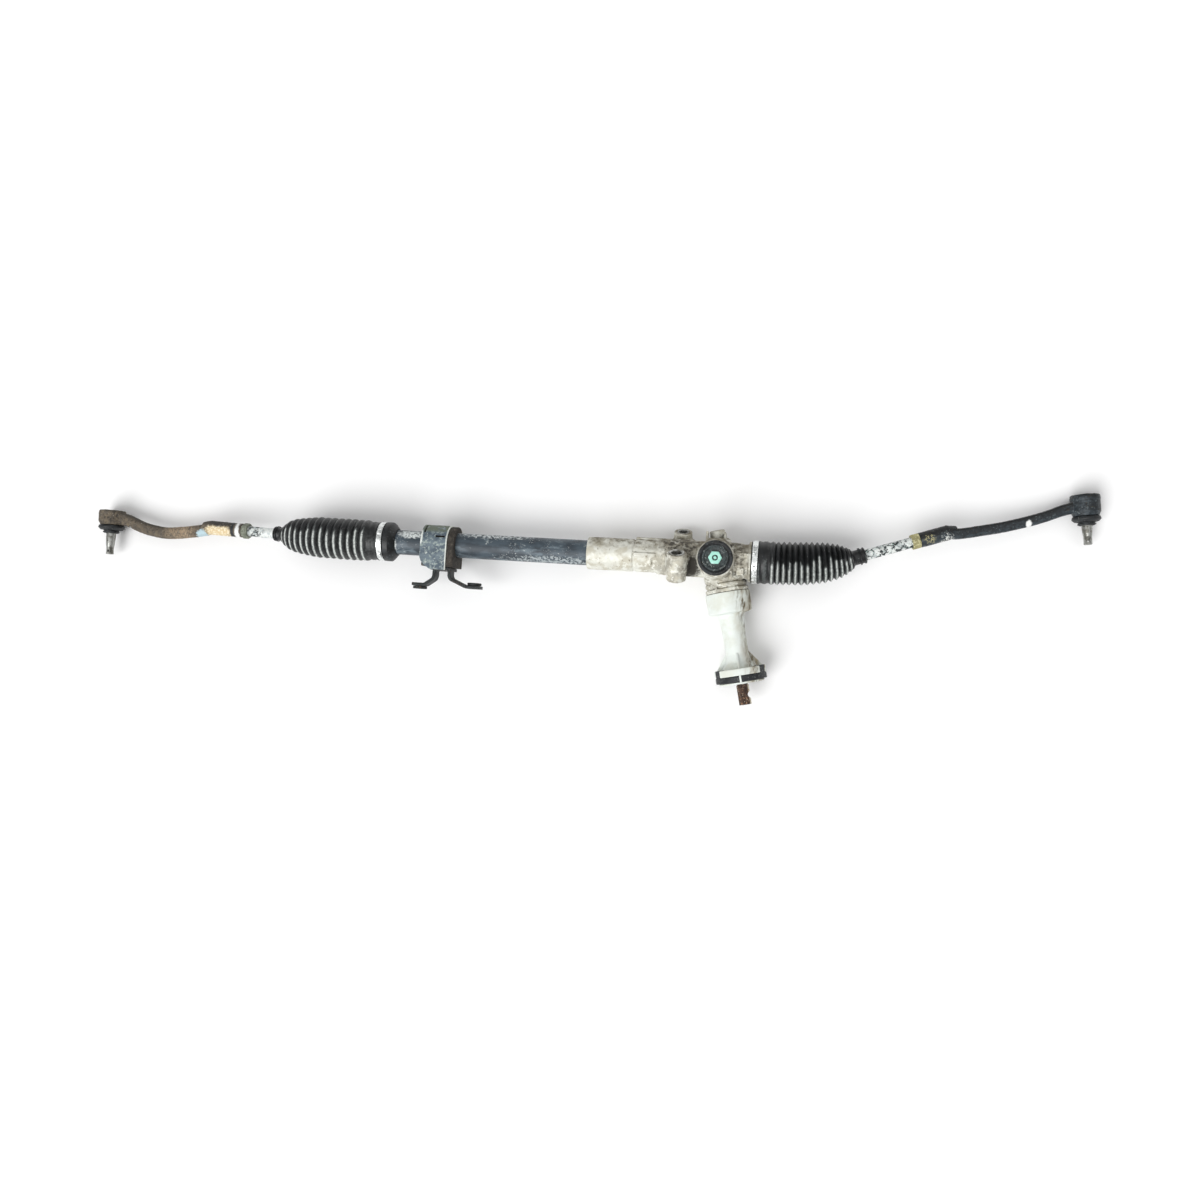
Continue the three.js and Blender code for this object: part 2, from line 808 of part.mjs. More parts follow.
function bracketStrap() {
  const inner = STRAP_RADIUS - STRAP_THICKNESS;
  const shape = new THREE.Shape();
  shape.moveTo(STRAP_RADIUS, STRAP_FOOT);
  shape.lineTo(STRAP_RADIUS, 0);
  shape.absarc(0, 0, STRAP_RADIUS, 0, Math.PI, false);
  shape.lineTo(-STRAP_RADIUS, STRAP_FOOT);
  shape.lineTo(-inner, STRAP_FOOT);
  shape.lineTo(-inner, 0);
  shape.absarc(0, 0, inner, Math.PI, 0, true);
  shape.lineTo(inner, STRAP_FOOT);
  const geometry = new THREE.ExtrudeGeometry(shape, {
    depth: BRACKET_RIGHT - BRACKET_LEFT,
    bevelEnabled: false,
    curveSegments: 12,
    steps: 1,
  });
  const place = new THREE.Matrix4().makeBasis(Z, Y, X.clone().negate());
  place.setPosition(BRACKET_RIGHT, 0, 0);
  const strap = solid(geometry, place);
  const corner = outline([
    [BRACKET_LEFT - 1, -16],
    [BRACKET_LEFT + 1.2, -22],
    [BRACKET_LEFT + 5, -27],
    [BRACKET_LEFT + 10, -30],
    [BRACKET_LEFT + 16, STRAP_FOOT - 1],
    [BRACKET_LEFT - 1, STRAP_FOOT - 1],
  ]);
  return strap.subtract(prism(corner, X, Y, -30, 60));
}

function bracketBase() {
  const topPlate = -30;
  const insideStrap = STRAP_RADIUS - STRAP_THICKNESS - GAP;
  const shape = plate(
    [
      [-367.8, FOOT_LEVEL],
      [-352.5, FOOT_LEVEL],
      [-342, -42.5],
      [-340.9, -38],
      [-340.9, topPlate],
      [-322, topPlate],
      [-322, -38],
      [-320, -42],
      [-301, FOOT_LEVEL],
      [-283, FOOT_LEVEL],
    ],
    FOOT_THICKNESS,
  );
  const bridge = block(
    [-342.8, topPlate - FOOT_THICKNESS / 2, -insideStrap],
    [-320.1, topPlate + FOOT_THICKNESS / 2, insideStrap],
  );
  let base = prism(shape, X, Y, -FOOT_HALF_WIDTH, 2 * FOOT_HALF_WIDTH).add(bridge);
  const aboutY = new THREE.Matrix4().makeRotationZ(Math.PI / 2);
  for (const x of FOOT_HOLES) {
    const hole = rod(FOOT_LEVEL - 5, FOOT_LEVEL + 5, FOOT_HOLE_RADIUS, SMALL);
    base = base.subtract(hole.transform(aboutY.clone().setPosition(x, 0, 0).elements));
  }
  return base;
}

// A weld collar about a foot's hole, above or below the foot.
function footCollar(x, above) {
  const reach = 3.2;
  const from = above ? FOOT_LEVEL + FOOT_THICKNESS / 2 + GAP : FOOT_LEVEL - FOOT_THICKNESS / 2 - GAP - reach;
  const collar = ring(from, from + reach, FOOT_HOLE_RADIUS, 8.6, SMALL);
  const aboutY = new THREE.Matrix4().makeRotationZ(Math.PI / 2).setPosition(x, 0, 0);
  return collar.transform(aboutY.elements);
}

// The D-shaped rubber bush: one section inside the strap and a wider lip beside it.
function bushSection(radius, foot, from, to) {
  const shape = new THREE.Shape();
  shape.moveTo(radius, foot);
  shape.lineTo(radius, 0);
  shape.absarc(0, 0, radius, 0, Math.PI, false);
  shape.lineTo(-radius, foot);
  const geometry = new THREE.ExtrudeGeometry(shape, {
    depth: to - from,
    bevelEnabled: false,
    curveSegments: 10,
    steps: 1,
  });
  const place = new THREE.Matrix4().makeBasis(Z, Y, X.clone().negate());
  return solid(geometry, place.setPosition(to, 0, 0));
}

function bracketBush() {
  const inner = STRAP_RADIUS - STRAP_THICKNESS - GAP;
  const section = bushSection(inner, -27.8, BRACKET_LEFT + 2, BRACKET_RIGHT + 1);
  const lip = bushSection(STRAP_RADIUS - 1, -27.8, BRACKET_RIGHT + GAP, BUSH_RIGHT);
  const bore = rod(BRACKET_LEFT, BUSH_RIGHT + 1, TUBE_RADIUS + GAP, LARGE);
  return section.add(lip).subtract(bore);
}

// ---- Boots and tie rods ----

// The direction of a side's rod at rest, drooping so that its outer joint rests on the floor.
function rodFrame(side) {
  const reach = Math.hypot(...side.outerBall);
  const droop = Math.asin(FLOOR_DROP / reach);
  const level = Math.cos(droop);
  const across = Math.cos(side.swing);
  const up = Math.sin(side.swing);
  const along = new THREE.Vector3(side.direction * across * level, up * level, -Math.sin(droop));
  const towardsY = new THREE.Vector3(-side.direction * up, across, 0);
  return frame(ballCentre(side), along, towardsY);
}

// The frame of a side's inner ball seat: it follows the rod's swing but not its droop.
function seatFrame(side) {
  const along = new THREE.Vector3(side.direction * Math.cos(side.swing), Math.sin(side.swing), 0);
  const towardsY = new THREE.Vector3(-side.direction * Math.sin(side.swing), Math.cos(side.swing), 0);
  return frame(ballCentre(side), along, towardsY);
}

function rackEndFrame(side) {
  return frame(ballCentre(side), new THREE.Vector3(side.direction, 0, 0), Y);
}

function ballCentre(side) {
  return new THREE.Vector3(GEAR_MIDDLE + side.direction * BALL_REACH, 0, 0);
}

// The frame of a side's outer ball joint: X along the ball stud.
function outerFrame(side) {
  const [along, offset] = side.outerBall;
  const centre = new THREE.Vector3(along, offset, 0).applyMatrix4(rodFrame(side).matrix);
  const stud = new THREE.Vector3(Math.sin(side.studLean), -Math.cos(side.studLean), 0);
  return frame(centre, stud, Z);
}

// A bellows as one plain shell, straight on the casing and bent to follow the rod at its tip.
function boot(side) {
  const bandAt = BAND_REACH - BALL_REACH;
  const cuffStart = bandAt - 3.8;
  const cuffEnd = bandAt + 18;
  const wall = 1.9;
  const [tipStart, tipEnd, tipRadius] = side.bootTip;
  const seat = side.cuffSeat + GAP;
  const cuffRadius = seat + wall;
  const outer = [[cuffStart, cuffRadius], [cuffEnd, cuffRadius], ...side.boot];
  const shell = [
    ...outer,
    [tipStart, tipRadius],
    [tipEnd, tipRadius],
    [tipEnd, ROD_RADIUS + GAP],
    [tipStart, ROD_RADIUS + GAP],
    ...[...side.boot].reverse().map(([along, radius]) => [along - 1, radius - wall]),
    [cuffEnd - 2, seat],
    [cuffStart, seat],
    [cuffStart, cuffRadius],
  ];
  const points = shell.map(([along, radius]) => new THREE.Vector2(radius, along));
  const geometry = new THREE.LatheGeometry(points, LARGE);
  geometry.rotateZ(-Math.PI / 2);
  bendToRod(geometry.attributes.position, side, cuffEnd, tipStart);
  return solid(geometry);
}

// Moves points drawn along a side's rack end so that they follow a curve from the casing to the rod.
function bendToRod(position, side, from, to) {
  const straight = rackEndFrame(side).matrix;
  const swung = rodFrame(side).matrix;
  const reach = to - from;
  const at = (matrix, along) => new THREE.Vector3(along, 0, 0).applyMatrix4(matrix);
  const curve = new THREE.CubicBezierCurve3(
    at(straight, from),
    at(straight, from + reach / 3),
    at(swung, to - reach / 4),
    at(swung, to),
  );
  const outward = X.clone().multiplyScalar(side.direction);
  const point = new THREE.Vector3();
  const turn = new THREE.Quaternion();
  for (let i = 0; i < position.count; i += 1) {
    point.fromBufferAttribute(position, i);
    if (point.x <= from) {
      point.applyMatrix4(straight);
    } else if (point.x >= to) {
      point.applyMatrix4(swung);
    } else {
      const share = (point.x - from) / reach;
      turn.setFromUnitVectors(outward, curve.getTangent(share));
      point.set(0, point.y, side.direction * point.z);
      point.applyQuaternion(turn).add(curve.getPoint(share));
    }
    position.setXYZ(i, point.x, point.y, point.z);
  }
}

function bigClamp(side) {
  const bandAt = BAND_REACH - BALL_REACH;
  const inner = side.cuffSeat + 2.2 + GAP;
  const band = ring(bandAt - 3.2, bandAt + 3.2, inner, inner + 0.9, LARGE);
  const ear = block([bandAt - 2.6, inner + 0.5, -3], [bandAt + 2.6, inner + 2.6, 3]);
  return band.add(ear.rotate([side.direction * 140, 0, 0]));
}

function smallClip(side) {
  const [tipStart, tipEnd, tipRadius] = side.bootTip;
  const middle = (tipStart + tipEnd) / 2 + 1;
  return ring(middle - 1.5, middle + 1.5, tipRadius + GAP, tipRadius + 1.3, MEDIUM);
}

function innerSocket() {
  const cavity = INNER_BALL + SEAT_WALL + 2 * BALL_GAP + 0.1;
  const studEnd = -SOCKET_DEPTH - 15;
  return turned(
    [
      [studEnd, 0],
      [studEnd, 6],
      [studEnd + 0.7, 6.7],
      [-SOCKET_DEPTH, 6.7],
      [-SOCKET_DEPTH, 14.7],
      [-SOCKET_DEPTH + 0.8, 15.5],
      [3, 15.5],
      [10.5, 12],
      ...arc(cavity, 50, 180, 6),
    ],
    MEDIUM,
  );
}

function innerSeat() {
  const inner = INNER_BALL + BALL_GAP;
  return turned([...arc(inner + SEAT_WALL, 180, 50, 6), ...arc(inner, 50, 180, 6)], SMALL);
}

function innerRod(side) {
  const neck = 5.6;
  const neckAngle = THREE.MathUtils.radToDeg(Math.asin(neck / INNER_BALL));
  const rodEnd = side.nut[1] + 22;
  return turned(
    [
      ...arc(INNER_BALL, 180, neckAngle, 7),
      [16, neck],
      [22, ROD_RADIUS],
      [rodEnd - 1, ROD_RADIUS],
      [rodEnd, ROD_RADIUS - 1],
      [rodEnd, 0],
    ],
    SMALL,
  );
}

function jamNut(side) {
  const [from, to] = side.nut;
  const acrossFlats = 17;
  const corner = acrossFlats / 2 / Math.cos(Math.PI / 6);
  const hexagon = rod(from, to, corner, 6).rotate([THREE.MathUtils.radToDeg(side.nutTurn), 0, 0]);
  return hexagon.subtract(rod(from - 1, to + 1, ROD_RADIUS + GAP, SMALL));
}

// The forged outer end: its threaded socket, its arm and its ball housing, in the rod's frame.
function outerEnd(side) {
  const mouth = side.nut[1] + GAP;
  const socketRadius = 8.8;
  const socket = turned(
    [
      [mouth, 0],
      [mouth, socketRadius - 0.6],
      [mouth + 1, socketRadius],
      [side.socketEnd - 6, socketRadius],
      [side.socketEnd, side.armRadius],
      [side.socketEnd, 0],
    ],
    SMALL,
  );
  const round = new THREE.Shape();
  round.absarc(0, 0, side.armRadius, 0, 2 * Math.PI, false);
  const line = side.arm.map(([along, offset]) => new THREE.Vector3(along, offset, 0));
  const arm = new THREE.ExtrudeGeometry(round, {
    extrudePath: new THREE.CatmullRomCurve3(line),
    steps: 9,
    curveSegments: 4,
    bevelEnabled: false,
  });
  const ballPlace = rodFrame(side).matrix.clone().invert().multiply(outerFrame(side).matrix);
  const housing = outerHousing(side).transform(ballPlace.elements);
  const cavity = outerCavity(side).transform(ballPlace.elements);
  const bore = rod(mouth - 1, side.nut[1] + 24, ROD_RADIUS + GAP, SMALL);
  return socket.add(solid(arm)).add(housing).subtract(cavity).subtract(bore);
}

function outerHousing(side) {
  const closedEnd = -side.capSide;
  return turned(
    [
      [closedEnd, 0],
      [closedEnd, BALL_HOUSING_RADIUS - 1.2],
      [closedEnd + 1.5, BALL_HOUSING_RADIUS],
      [2.5, BALL_HOUSING_RADIUS],
      [5.5, 14.8],
      [7.5, 14.4],
      [7.5, 0],
    ],
    MEDIUM,
  );
}

function outerCavity(side) {
  const cavity = OUTER_BALL + SEAT_WALL + 2 * BALL_GAP;
  const closedEnd = -side.capSide;
  const capSeat = closedEnd + 3.1;
  return turned(
    [
      [closedEnd - 1, 0],
      [closedEnd - 1, 14.2],
      [capSeat, 14.2],
      [capSeat, 12.8],
      [-0.5, 12.8],
      ...arc(cavity, 90, 52, 4),
      [8.5, 10.7],
      [8.5, 0],
    ],
    SMALL,
  );
}

function outerCap(side) {
  const closedEnd = -side.capSide;
  return turned(
    [[closedEnd, 0], [closedEnd + 0.5, 13.9], [closedEnd + 2.8, 13.9], [closedEnd + 2.8, 0]],
    SMALL,
  );
}

function outerSeat() {
  const inner = OUTER_BALL + BALL_GAP;
  const outer = inner + SEAT_WALL;
  const outside = arc(outer, 52, 118, 4);
  const inside = arc(inner, 118, 52, 4);
  return turned([...outside, ...inside, outside[0]], SMALL);
}

function ballStud(side) {
  const length = side.studLength;
  const neck = 5.3;
  const neckAngle = THREE.MathUtils.radToDeg(Math.asin(neck / OUTER_BALL));
  const body = turned(
    [
      ...arc(OUTER_BALL, 180, neckAngle, 7),
      [12, neck],
      [16.5, 6.3],
      [length - 12, 5.2],
      [length - 10.5, 4.9],
      [length - 1, 4.9],
      [length, 4],
      [length, 0],
    ],
    SMALL,
  );
  const aboutY = new THREE.Matrix4().makeRotationZ(Math.PI / 2).setPosition(length - 4, 0, 0);
  return body.subtract(rod(-8, 8, 1.5, 8).transform(aboutY.elements));
}

function dustBoot() {
  return turned(
    [
      [7.9, 12.4],
      [7.9, 15.2],
      [10.6, 16.3],
      [13.8, 13.8],
      [14.8, 9.2],
      [18, 9.2],
      [18, 7.6],
      [13.4, 8.4],
      [12, 12.4],
      [7.9, 12.4],
    ],
    MEDIUM,
  );
}

function dustBootRing() {
  return ring(15.9, 17.3, 9.5, 10.4, MEDIUM);
}

// ---- Assembly ----

function fixedPieces() {
  const tubeEnd = GEAR_MIDDLE - STOP_REACH + GAP;
  const bushEnd = tubeEnd + 30;
  return [
    node("gear_housing", gearHousing(), "castAluminium"),
    node("rack_tube", ring(tubeEnd, TUBE_SEAT - GAP, TUBE_BORE, TUBE_RADIUS, LARGE), "paintedTube"),
    node("tube_end_collar", tubeEndCollar(), "blackSteel"),
    node("rack_bush", ring(tubeEnd + 4, bushEnd, RACK_RADIUS + GAP, TUBE_BORE - GAP, LARGE), "acetal"),
    node("bracket_strap", bracketStrap(), "bracketPaint"),
    node("bracket_base", bracketBase(), "blackSteel"),
    node("bracket_bush", bracketBush(), "bushRubber"),
    node("left_foot_collar", footCollar(FOOT_HOLES[0], false), "blackSteel"),
    node("right_foot_collar", footCollar(FOOT_HOLES[1], true), "blackSteel"),
  ];
}

function yokeGroup() {
  const group = yokeFrame();
  group.add(node("rack_yoke", rackYoke(), "machinedAluminium"));
  group.add(node("yoke_spring", yokeSpring(), "hardenedSteel"));
  group.add(node("yoke_o_ring", yokeORing(), "rubber"));
  group.add(node("yoke_plug", yokePlug(), "greenPlastic"));
  group.add(node("yoke_lock_nut", yokeLockNut(), "blackSteel"));
  return group;
}

function pinionGroup() {
  const group = pinionFrame();
  const boreFit = 21.9 - GAP;
  group.add(node("pinion_shaft", pinionShaft(), "hardenedSteel"));
  group.add(node("lower_pinion_bearing", ring(-29, -17, 5.8, 8.5, SMALL), "hardenedSteel"));
  group.add(node("upper_pinion_bearing", ring(17.5, 28.7, 8.8, 17.5, MEDIUM), "hardenedSteel"));
  group.add(node("pinion_retaining_plug", ring(29.3, 36.5, 12.6, boreFit, MEDIUM), "brightSteel"));
  group.add(node("pinion_seal", ring(30, 36, 8.3, 12.3, SMALL), "rubber"));
  group.add(node("pinion_cover", pinionCover(), "whitePlastic"));
  group.add(node("cover_gasket", coverGasket(), "rubber"));
  group.add(node("left_cover_clip", earHole(1, GAP, 4.8), "whitePlastic"));
  group.add(node("right_cover_clip", earHole(-1, GAP, 4.8), "whitePlastic"));
  return group;
}

function lugGroup() {
  const group = lugFrame();
  const sleeve = (lug) => {
    const outside = lugCylinder(lug, LUG_BOTTOM - 0.5, LUG_TOP + 0.5, lug.sleeve, SMALL);
    return outside.subtract(lugCylinder(lug, LUG_BOTTOM - 2, LUG_TOP + 2, lug.hole, SMALL));
  };
  group.add(node("front_lug_sleeve", sleeve(FRONT_LUG), "brightSteel"));
  group.add(node("rear_lug_sleeve", sleeve(REAR_LUG), "brightSteel"));
  return group;
}

function sidePieces(side) {
  const armFinish = side.direction < 0 ? "rustySteel" : "darkSteel";
  const name = (piece) => side.name + "_" + piece;
  const rackEnd = rackEndFrame(side);
  const washerAt = -SOCKET_DEPTH - WASHER_THICKNESS;
  rackEnd.add(node(name("inner_socket"), innerSocket(), "hardenedSteel"));
  rackEnd.add(node(name("lock_washer"), ring(washerAt, -SOCKET_DEPTH - GAP, 7.2, 13.6, SMALL), "brightSteel"));
  rackEnd.add(node(name("boot_clamp"), bigClamp(side), "brightSteel"));
  const seat = seatFrame(side);
  seat.add(node(name("inner_seat"), innerSeat(), "acetal"));
  const tieRod = rodFrame(side);
  tieRod.add(node(name("inner_rod"), innerRod(side), "brightSteel"));
  tieRod.add(node(name("boot_clip"), smallClip(side), "blackSteel"));
  tieRod.add(node(name("jam_nut"), jamNut(side), "brightSteel"));
  tieRod.add(node(name("outer_end"), outerEnd(side), armFinish));
  const outer = outerFrame(side);
  outer.add(node(name("end_cap"), outerCap(side), armFinish));
  outer.add(node(name("outer_seat"), outerSeat(), "acetal"));
  outer.add(node(name("ball_stud"), ballStud(side), "brightSteel"));
  outer.add(node(name("dust_boot"), dustBoot(), "rubber"));
  outer.add(node(name("dust_boot_ring"), dustBootRing(), "brightSteel"));
  return [rackEnd, seat, tieRod, outer, node(name("boot"), boot(side), "rubber")];
}

const gear = new THREE.Group();
gear.add(node("rack_bar", rackBar(), "hardenedSteel"));
gear.add(node("yoke_liner", yokeLiner(), "acetal"));
gear.add(...fixedPieces(), yokeGroup(), pinionGroup(), lugGroup());
for (const side of SIDES) gear.add(...sidePieces(side));

// The part's origin is under the middle of its bounding box, on the floor.
const bounds = new THREE.Box3().setFromObject(gear, true);
const middle = bounds.getCenter(new THREE.Vector3());
gear.position.set(-middle.x, -middle.y, -bounds.min.z);

const steeringGear = new THREE.Group();
steeringGear.add(gear);

export default steeringGear;
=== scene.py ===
"""The looks of a rack-and-pinion steering gear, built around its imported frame.

Shapes are drawn in millimetres in a few local frames and placed in metres in the frame of the part.
"""
import json
from math import asin, copysign, cos, degrees, hypot, pi, radians, sin, sqrt, tan

import bmesh
import bpy
import numpy as np
from mathutils import Matrix, Vector, noise

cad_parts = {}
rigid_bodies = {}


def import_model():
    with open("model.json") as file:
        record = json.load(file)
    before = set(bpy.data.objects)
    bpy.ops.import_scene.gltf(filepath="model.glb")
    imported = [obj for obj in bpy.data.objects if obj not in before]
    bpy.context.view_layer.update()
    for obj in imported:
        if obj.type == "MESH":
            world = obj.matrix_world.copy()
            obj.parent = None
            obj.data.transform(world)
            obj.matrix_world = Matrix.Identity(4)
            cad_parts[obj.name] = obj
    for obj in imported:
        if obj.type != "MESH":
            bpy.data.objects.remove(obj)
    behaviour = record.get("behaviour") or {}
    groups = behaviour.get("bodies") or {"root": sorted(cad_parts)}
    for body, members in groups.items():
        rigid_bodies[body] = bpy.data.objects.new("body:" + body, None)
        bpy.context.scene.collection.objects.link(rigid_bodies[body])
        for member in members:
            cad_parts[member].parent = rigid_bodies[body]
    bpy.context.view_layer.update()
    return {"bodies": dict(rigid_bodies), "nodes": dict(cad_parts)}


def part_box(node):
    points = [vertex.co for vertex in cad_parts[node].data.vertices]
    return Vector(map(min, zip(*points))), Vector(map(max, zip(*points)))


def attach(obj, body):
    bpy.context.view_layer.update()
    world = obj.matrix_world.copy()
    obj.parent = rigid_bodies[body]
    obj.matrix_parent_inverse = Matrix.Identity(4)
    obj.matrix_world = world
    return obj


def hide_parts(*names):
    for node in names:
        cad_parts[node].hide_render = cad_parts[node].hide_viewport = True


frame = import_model()
BODIES = frame["bodies"]
NODES = frame["nodes"]
SCENE = bpy.context.scene

MM = 0.001
X, Y, Z = Vector((1, 0, 0)), Vector((0, 1, 0)), Vector((0, 0, 1))


def middle(node, axis):
    low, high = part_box(node)
    return (low[axis] + high[axis]) / 2 / MM


PINION_TILT = radians(12.8)
ACROSS_PINION = Vector((cos(PINION_TILT), sin(PINION_TILT), 0))

# The gear's own origin: where the yoke's axis meets the rack's.
ORIGIN = Vector((middle("yoke_lock_nut", 0), middle("yoke_lock_nut", 1), middle("rack_bar", 2)))


# ---- Camera, floor and light ----

def linked(name, data):
    thing = bpy.data.objects.new(name, data)
    SCENE.collection.objects.link(thing)
    return thing


def add_camera():
    data = bpy.data.cameras.new("camera")
    data.lens = 36
    data.sensor_width = 36
    data.clip_start = 0.01
    camera = linked("camera", data)
    right = Vector((0.98675, 0.06595, -0.14823))
    up = Vector((-0.06097, 0.99742, 0.03788))
    back = right.cross(up)
    turn = Matrix((right, up, back)).transposed().to_4x4()
    place = (ORIGIN + Vector((79.98, -96.39, 1420))) * MM
    camera.matrix_world = Matrix.Translation(place) @ turn
    SCENE.camera = camera


def add_light(name, heading, strength, spread):
    """A soft, even light along a heading."""
    data = bpy.data.lights.new(name, "SUN")
    data.energy = strength
    data.angle = radians(spread)
    light = linked(name, data)
    turn = Vector(heading).to_track_quat("-Z", "Y").to_matrix().to_4x4()
    light.matrix_world = Matrix.Translation((0, 0, 2)) @ turn


def add_floor():
    mesh = bpy.data.meshes.new("floor")
    reach, below = 12, -0.0005
    corners = [(-reach, -reach), (reach, -reach), (reach, reach), (-reach, reach)]
    mesh.from_pydata([(x, y, below) for x, y in corners], [], [(0, 1, 2, 3)])
    floor = linked("floor", mesh)
    material = bpy.data.materials.new("floor")
    material.use_nodes = True
    shader = material.node_tree.nodes["Principled BSDF"]
    shader.inputs["Base Color"].default_value = (0.93, 0.93, 0.93, 1)
    shader.inputs["Roughness"].default_value = 0.9
    shader.inputs["Specular IOR Level"].default_value = 0.1
    mesh.materials.append(material)


def add_world():
    world = bpy.data.worlds.new("studio")
    world.use_nodes = True
    background = world.node_tree.nodes["Background"]
    background.inputs["Color"].default_value = (1, 1, 1, 1)
    seen = world.node_tree.nodes.new("ShaderNodeLightPath")
    level = world.node_tree.nodes.new("ShaderNodeMapRange")
    level.inputs["To Min"].default_value = 0.42
    level.inputs["To Max"].default_value = 1.0
    world.node_tree.links.new(seen.outputs["Is Camera Ray"], level.inputs["Value"])
    world.node_tree.links.new(level.outputs[0], background.inputs["Strength"])
    SCENE.world = world
    SCENE.view_settings.view_transform = "Standard"
    SCENE.view_settings.look = "None"


# ---- Finishes ----

def rgb(code):
    """A hexadecimal sRGB colour as linear light."""
    parts = [(code >> shift & 255) / 255 for shift in (16, 8, 0)]
    return tuple(c / 12.92 if c <= 0.04045 else ((c + 0.055) / 1.055) ** 2.4 for c in parts) + (1,)


class Finish:
    """A procedural surface: layers of colour and roughness over a base, and bumps."""

    def __init__(self, name, colour, rough, metal=0.0, specular=0.5):
        self.material = bpy.data.materials.new(name)
        self.material.use_nodes = True
        self.nodes = self.material.node_tree.nodes
        self.links = self.material.node_tree.links
        self.shader = self.nodes["Principled BSDF"]
        self.shader.inputs["Metallic"].default_value = metal
        self.shader.inputs["Specular IOR Level"].default_value = specular
        self.place = self.nodes.new("ShaderNodeTexCoord").outputs["Object"]
        self.colour = rgb(colour)
        self.rough = rough
        self.metal = metal
        self.normal = None
        self.seeds = 0

    def feed(self, socket, value):
        if isinstance(value, (int, float, tuple, Vector)):
            socket.default_value = value
        else:
            self.links.new(value, socket)

    def math(self, operation, a, b=0.0, clamp=False):
        node = self.nodes.new("ShaderNodeMath")
        node.operation = operation
        node.use_clamp = clamp
        self.feed(node.inputs[0], a)
        self.feed(node.inputs[1], b)
        return node.outputs[0]

    def vector_math(self, operation, a, b=(0, 0, 0), output="Value"):
        node = self.nodes.new("ShaderNodeVectorMath")
        node.operation = operation
        self.feed(node.inputs[0], a)
        self.feed(node.inputs[1], b)
        return node.outputs[output]

    def ramp(self, value, low, high):
        node = self.nodes.new("ShaderNodeMapRange")
        node.interpolation_type = "SMOOTHSTEP"
        self.feed(node.inputs["Value"], value)
        node.inputs["From Min"].default_value = low
        node.inputs["From Max"].default_value = high
        return node.outputs[0]

    def shifted(self, stretch):
        self.seeds += 1
        node = self.nodes.new("ShaderNodeMapping")
        node.inputs["Location"].default_value = (self.seeds * 0.37, self.seeds * 0.71, self.seeds * 0.53)
        node.inputs["Scale"].default_value = stretch
        self.links.new(self.place, node.inputs["Vector"])
        return node.outputs[0]

    def raw_noise(self, size, detail=4.0, stretch=(1, 1, 1), distortion=0.0):
        """Noise with features of about a size in millimetres."""
        node = self.nodes.new("ShaderNodeTexNoise")
        self.links.new(self.shifted(stretch), node.inputs["Vector"])
        node.inputs["Scale"].default_value = 1 / (size * MM)
        node.inputs["Detail"].default_value = detail
        node.inputs["Roughness"].default_value = 0.6
        node.inputs["Distortion"].default_value = distortion
        return node.outputs["Fac"]

    def noise(self, size, low, high, **options):
        return self.ramp(self.raw_noise(size, **options), low, high)

    def patch(self, centre, reach, ragged=0.5, edge=0.25):
        """An ellipsoid with a ragged edge. Centre and reach are millimetres in the gear's frame."""
        away = self.vector_math("SUBTRACT", self.place, (ORIGIN + Vector(centre)) * MM, "Vector")
        length = self.vector_math("LENGTH", self.vector_math("DIVIDE", away, Vector(reach) * MM, "Vector"))
        rough = self.math("MULTIPLY", self.math("SUBTRACT", self.raw_noise(3.2), 0.5), 2 * ragged)
        return self.ramp(self.math("ADD", length, rough), 1 + edge, 1 - edge)

    def slope(self, direction, low, high):
        """A ramp along a direction from the gear's origin, in millimetres."""
        start = ORIGIN.dot(direction)
        along = self.vector_math("DOT_PRODUCT", self.place, direction)
        return self.ramp(along, (start + low) * MM, (start + high) * MM)

    def facing(self, direction, low, high):
        """Where the surface faces a direction of the part."""
        normal = self.nodes.new("ShaderNodeTexCoord").outputs["Normal"]
        return self.ramp(self.vector_math("DOT_PRODUCT", normal, direction), low, high)

    # An ambient-occlusion mask; where it is used it darkens crevices with grime and painted shade.
    def crevice(self, reach, low=0.25, high=0.75):
        node = self.nodes.new("ShaderNodeAmbientOcclusion")
        node.samples = 6
        node.inputs["Distance"].default_value = reach * MM
        return self.ramp(self.math("SUBTRACT", 1.0, node.outputs["AO"]), low, high)

    def attribute(self, name):
        node = self.nodes.new("ShaderNodeAttribute")
        node.attribute_name = name
        return node.outputs["Fac"]

    def both(self, *masks):
        result = masks[0]
        for mask in masks[1:]:
            result = self.math("MULTIPLY", result, mask)
        return result

    def mixed(self, kind, mask, a, b):
        node = self.nodes.new("ShaderNodeMix")
        node.data_type = kind
        first = {"RGBA": 6, "FLOAT": 2}[kind]
        self.feed(node.inputs[0], mask)
        self.feed(node.inputs[first], a)
        self.feed(node.inputs[first + 1], b)
        return node.outputs[{"RGBA": 2, "FLOAT": 0}[kind]]

    def mask(self, spec):
        """A socket, a noise as (size, low, high), or a list of these multiplied together."""
        if isinstance(spec, tuple):
            return self.noise(*spec)
        if isinstance(spec, list):
            return self.both(*[self.mask(part) for part in spec])
        return spec

    def layer(self, mask, colour, rough=None, metal=None):
        mask = self.mask(mask)
        self.colour = self.mixed("RGBA", mask, self.colour, rgb(colour))
        if rough is not None:
            self.rough = self.mixed("FLOAT", mask, self.rough, rough)
        if metal is not None:
            self.metal = self.mixed("FLOAT", mask, self.metal, metal)
        return self

    def bump(self, height, depth, strength=1.0):
        """Height times a depth in millimetres."""
        node = self.nodes.new("ShaderNodeBump")
        node.inputs["Strength"].default_value = strength
        node.inputs["Distance"].default_value = depth * MM
        self.feed(node.inputs["Height"], height)
        if self.normal:
            self.links.new(self.normal, node.inputs["Normal"])
        self.normal = node.outputs[0]
        return self

    def grain(self, size, depth, strength, **options):
        return self.bump(self.raw_noise(size, **options), depth, strength)

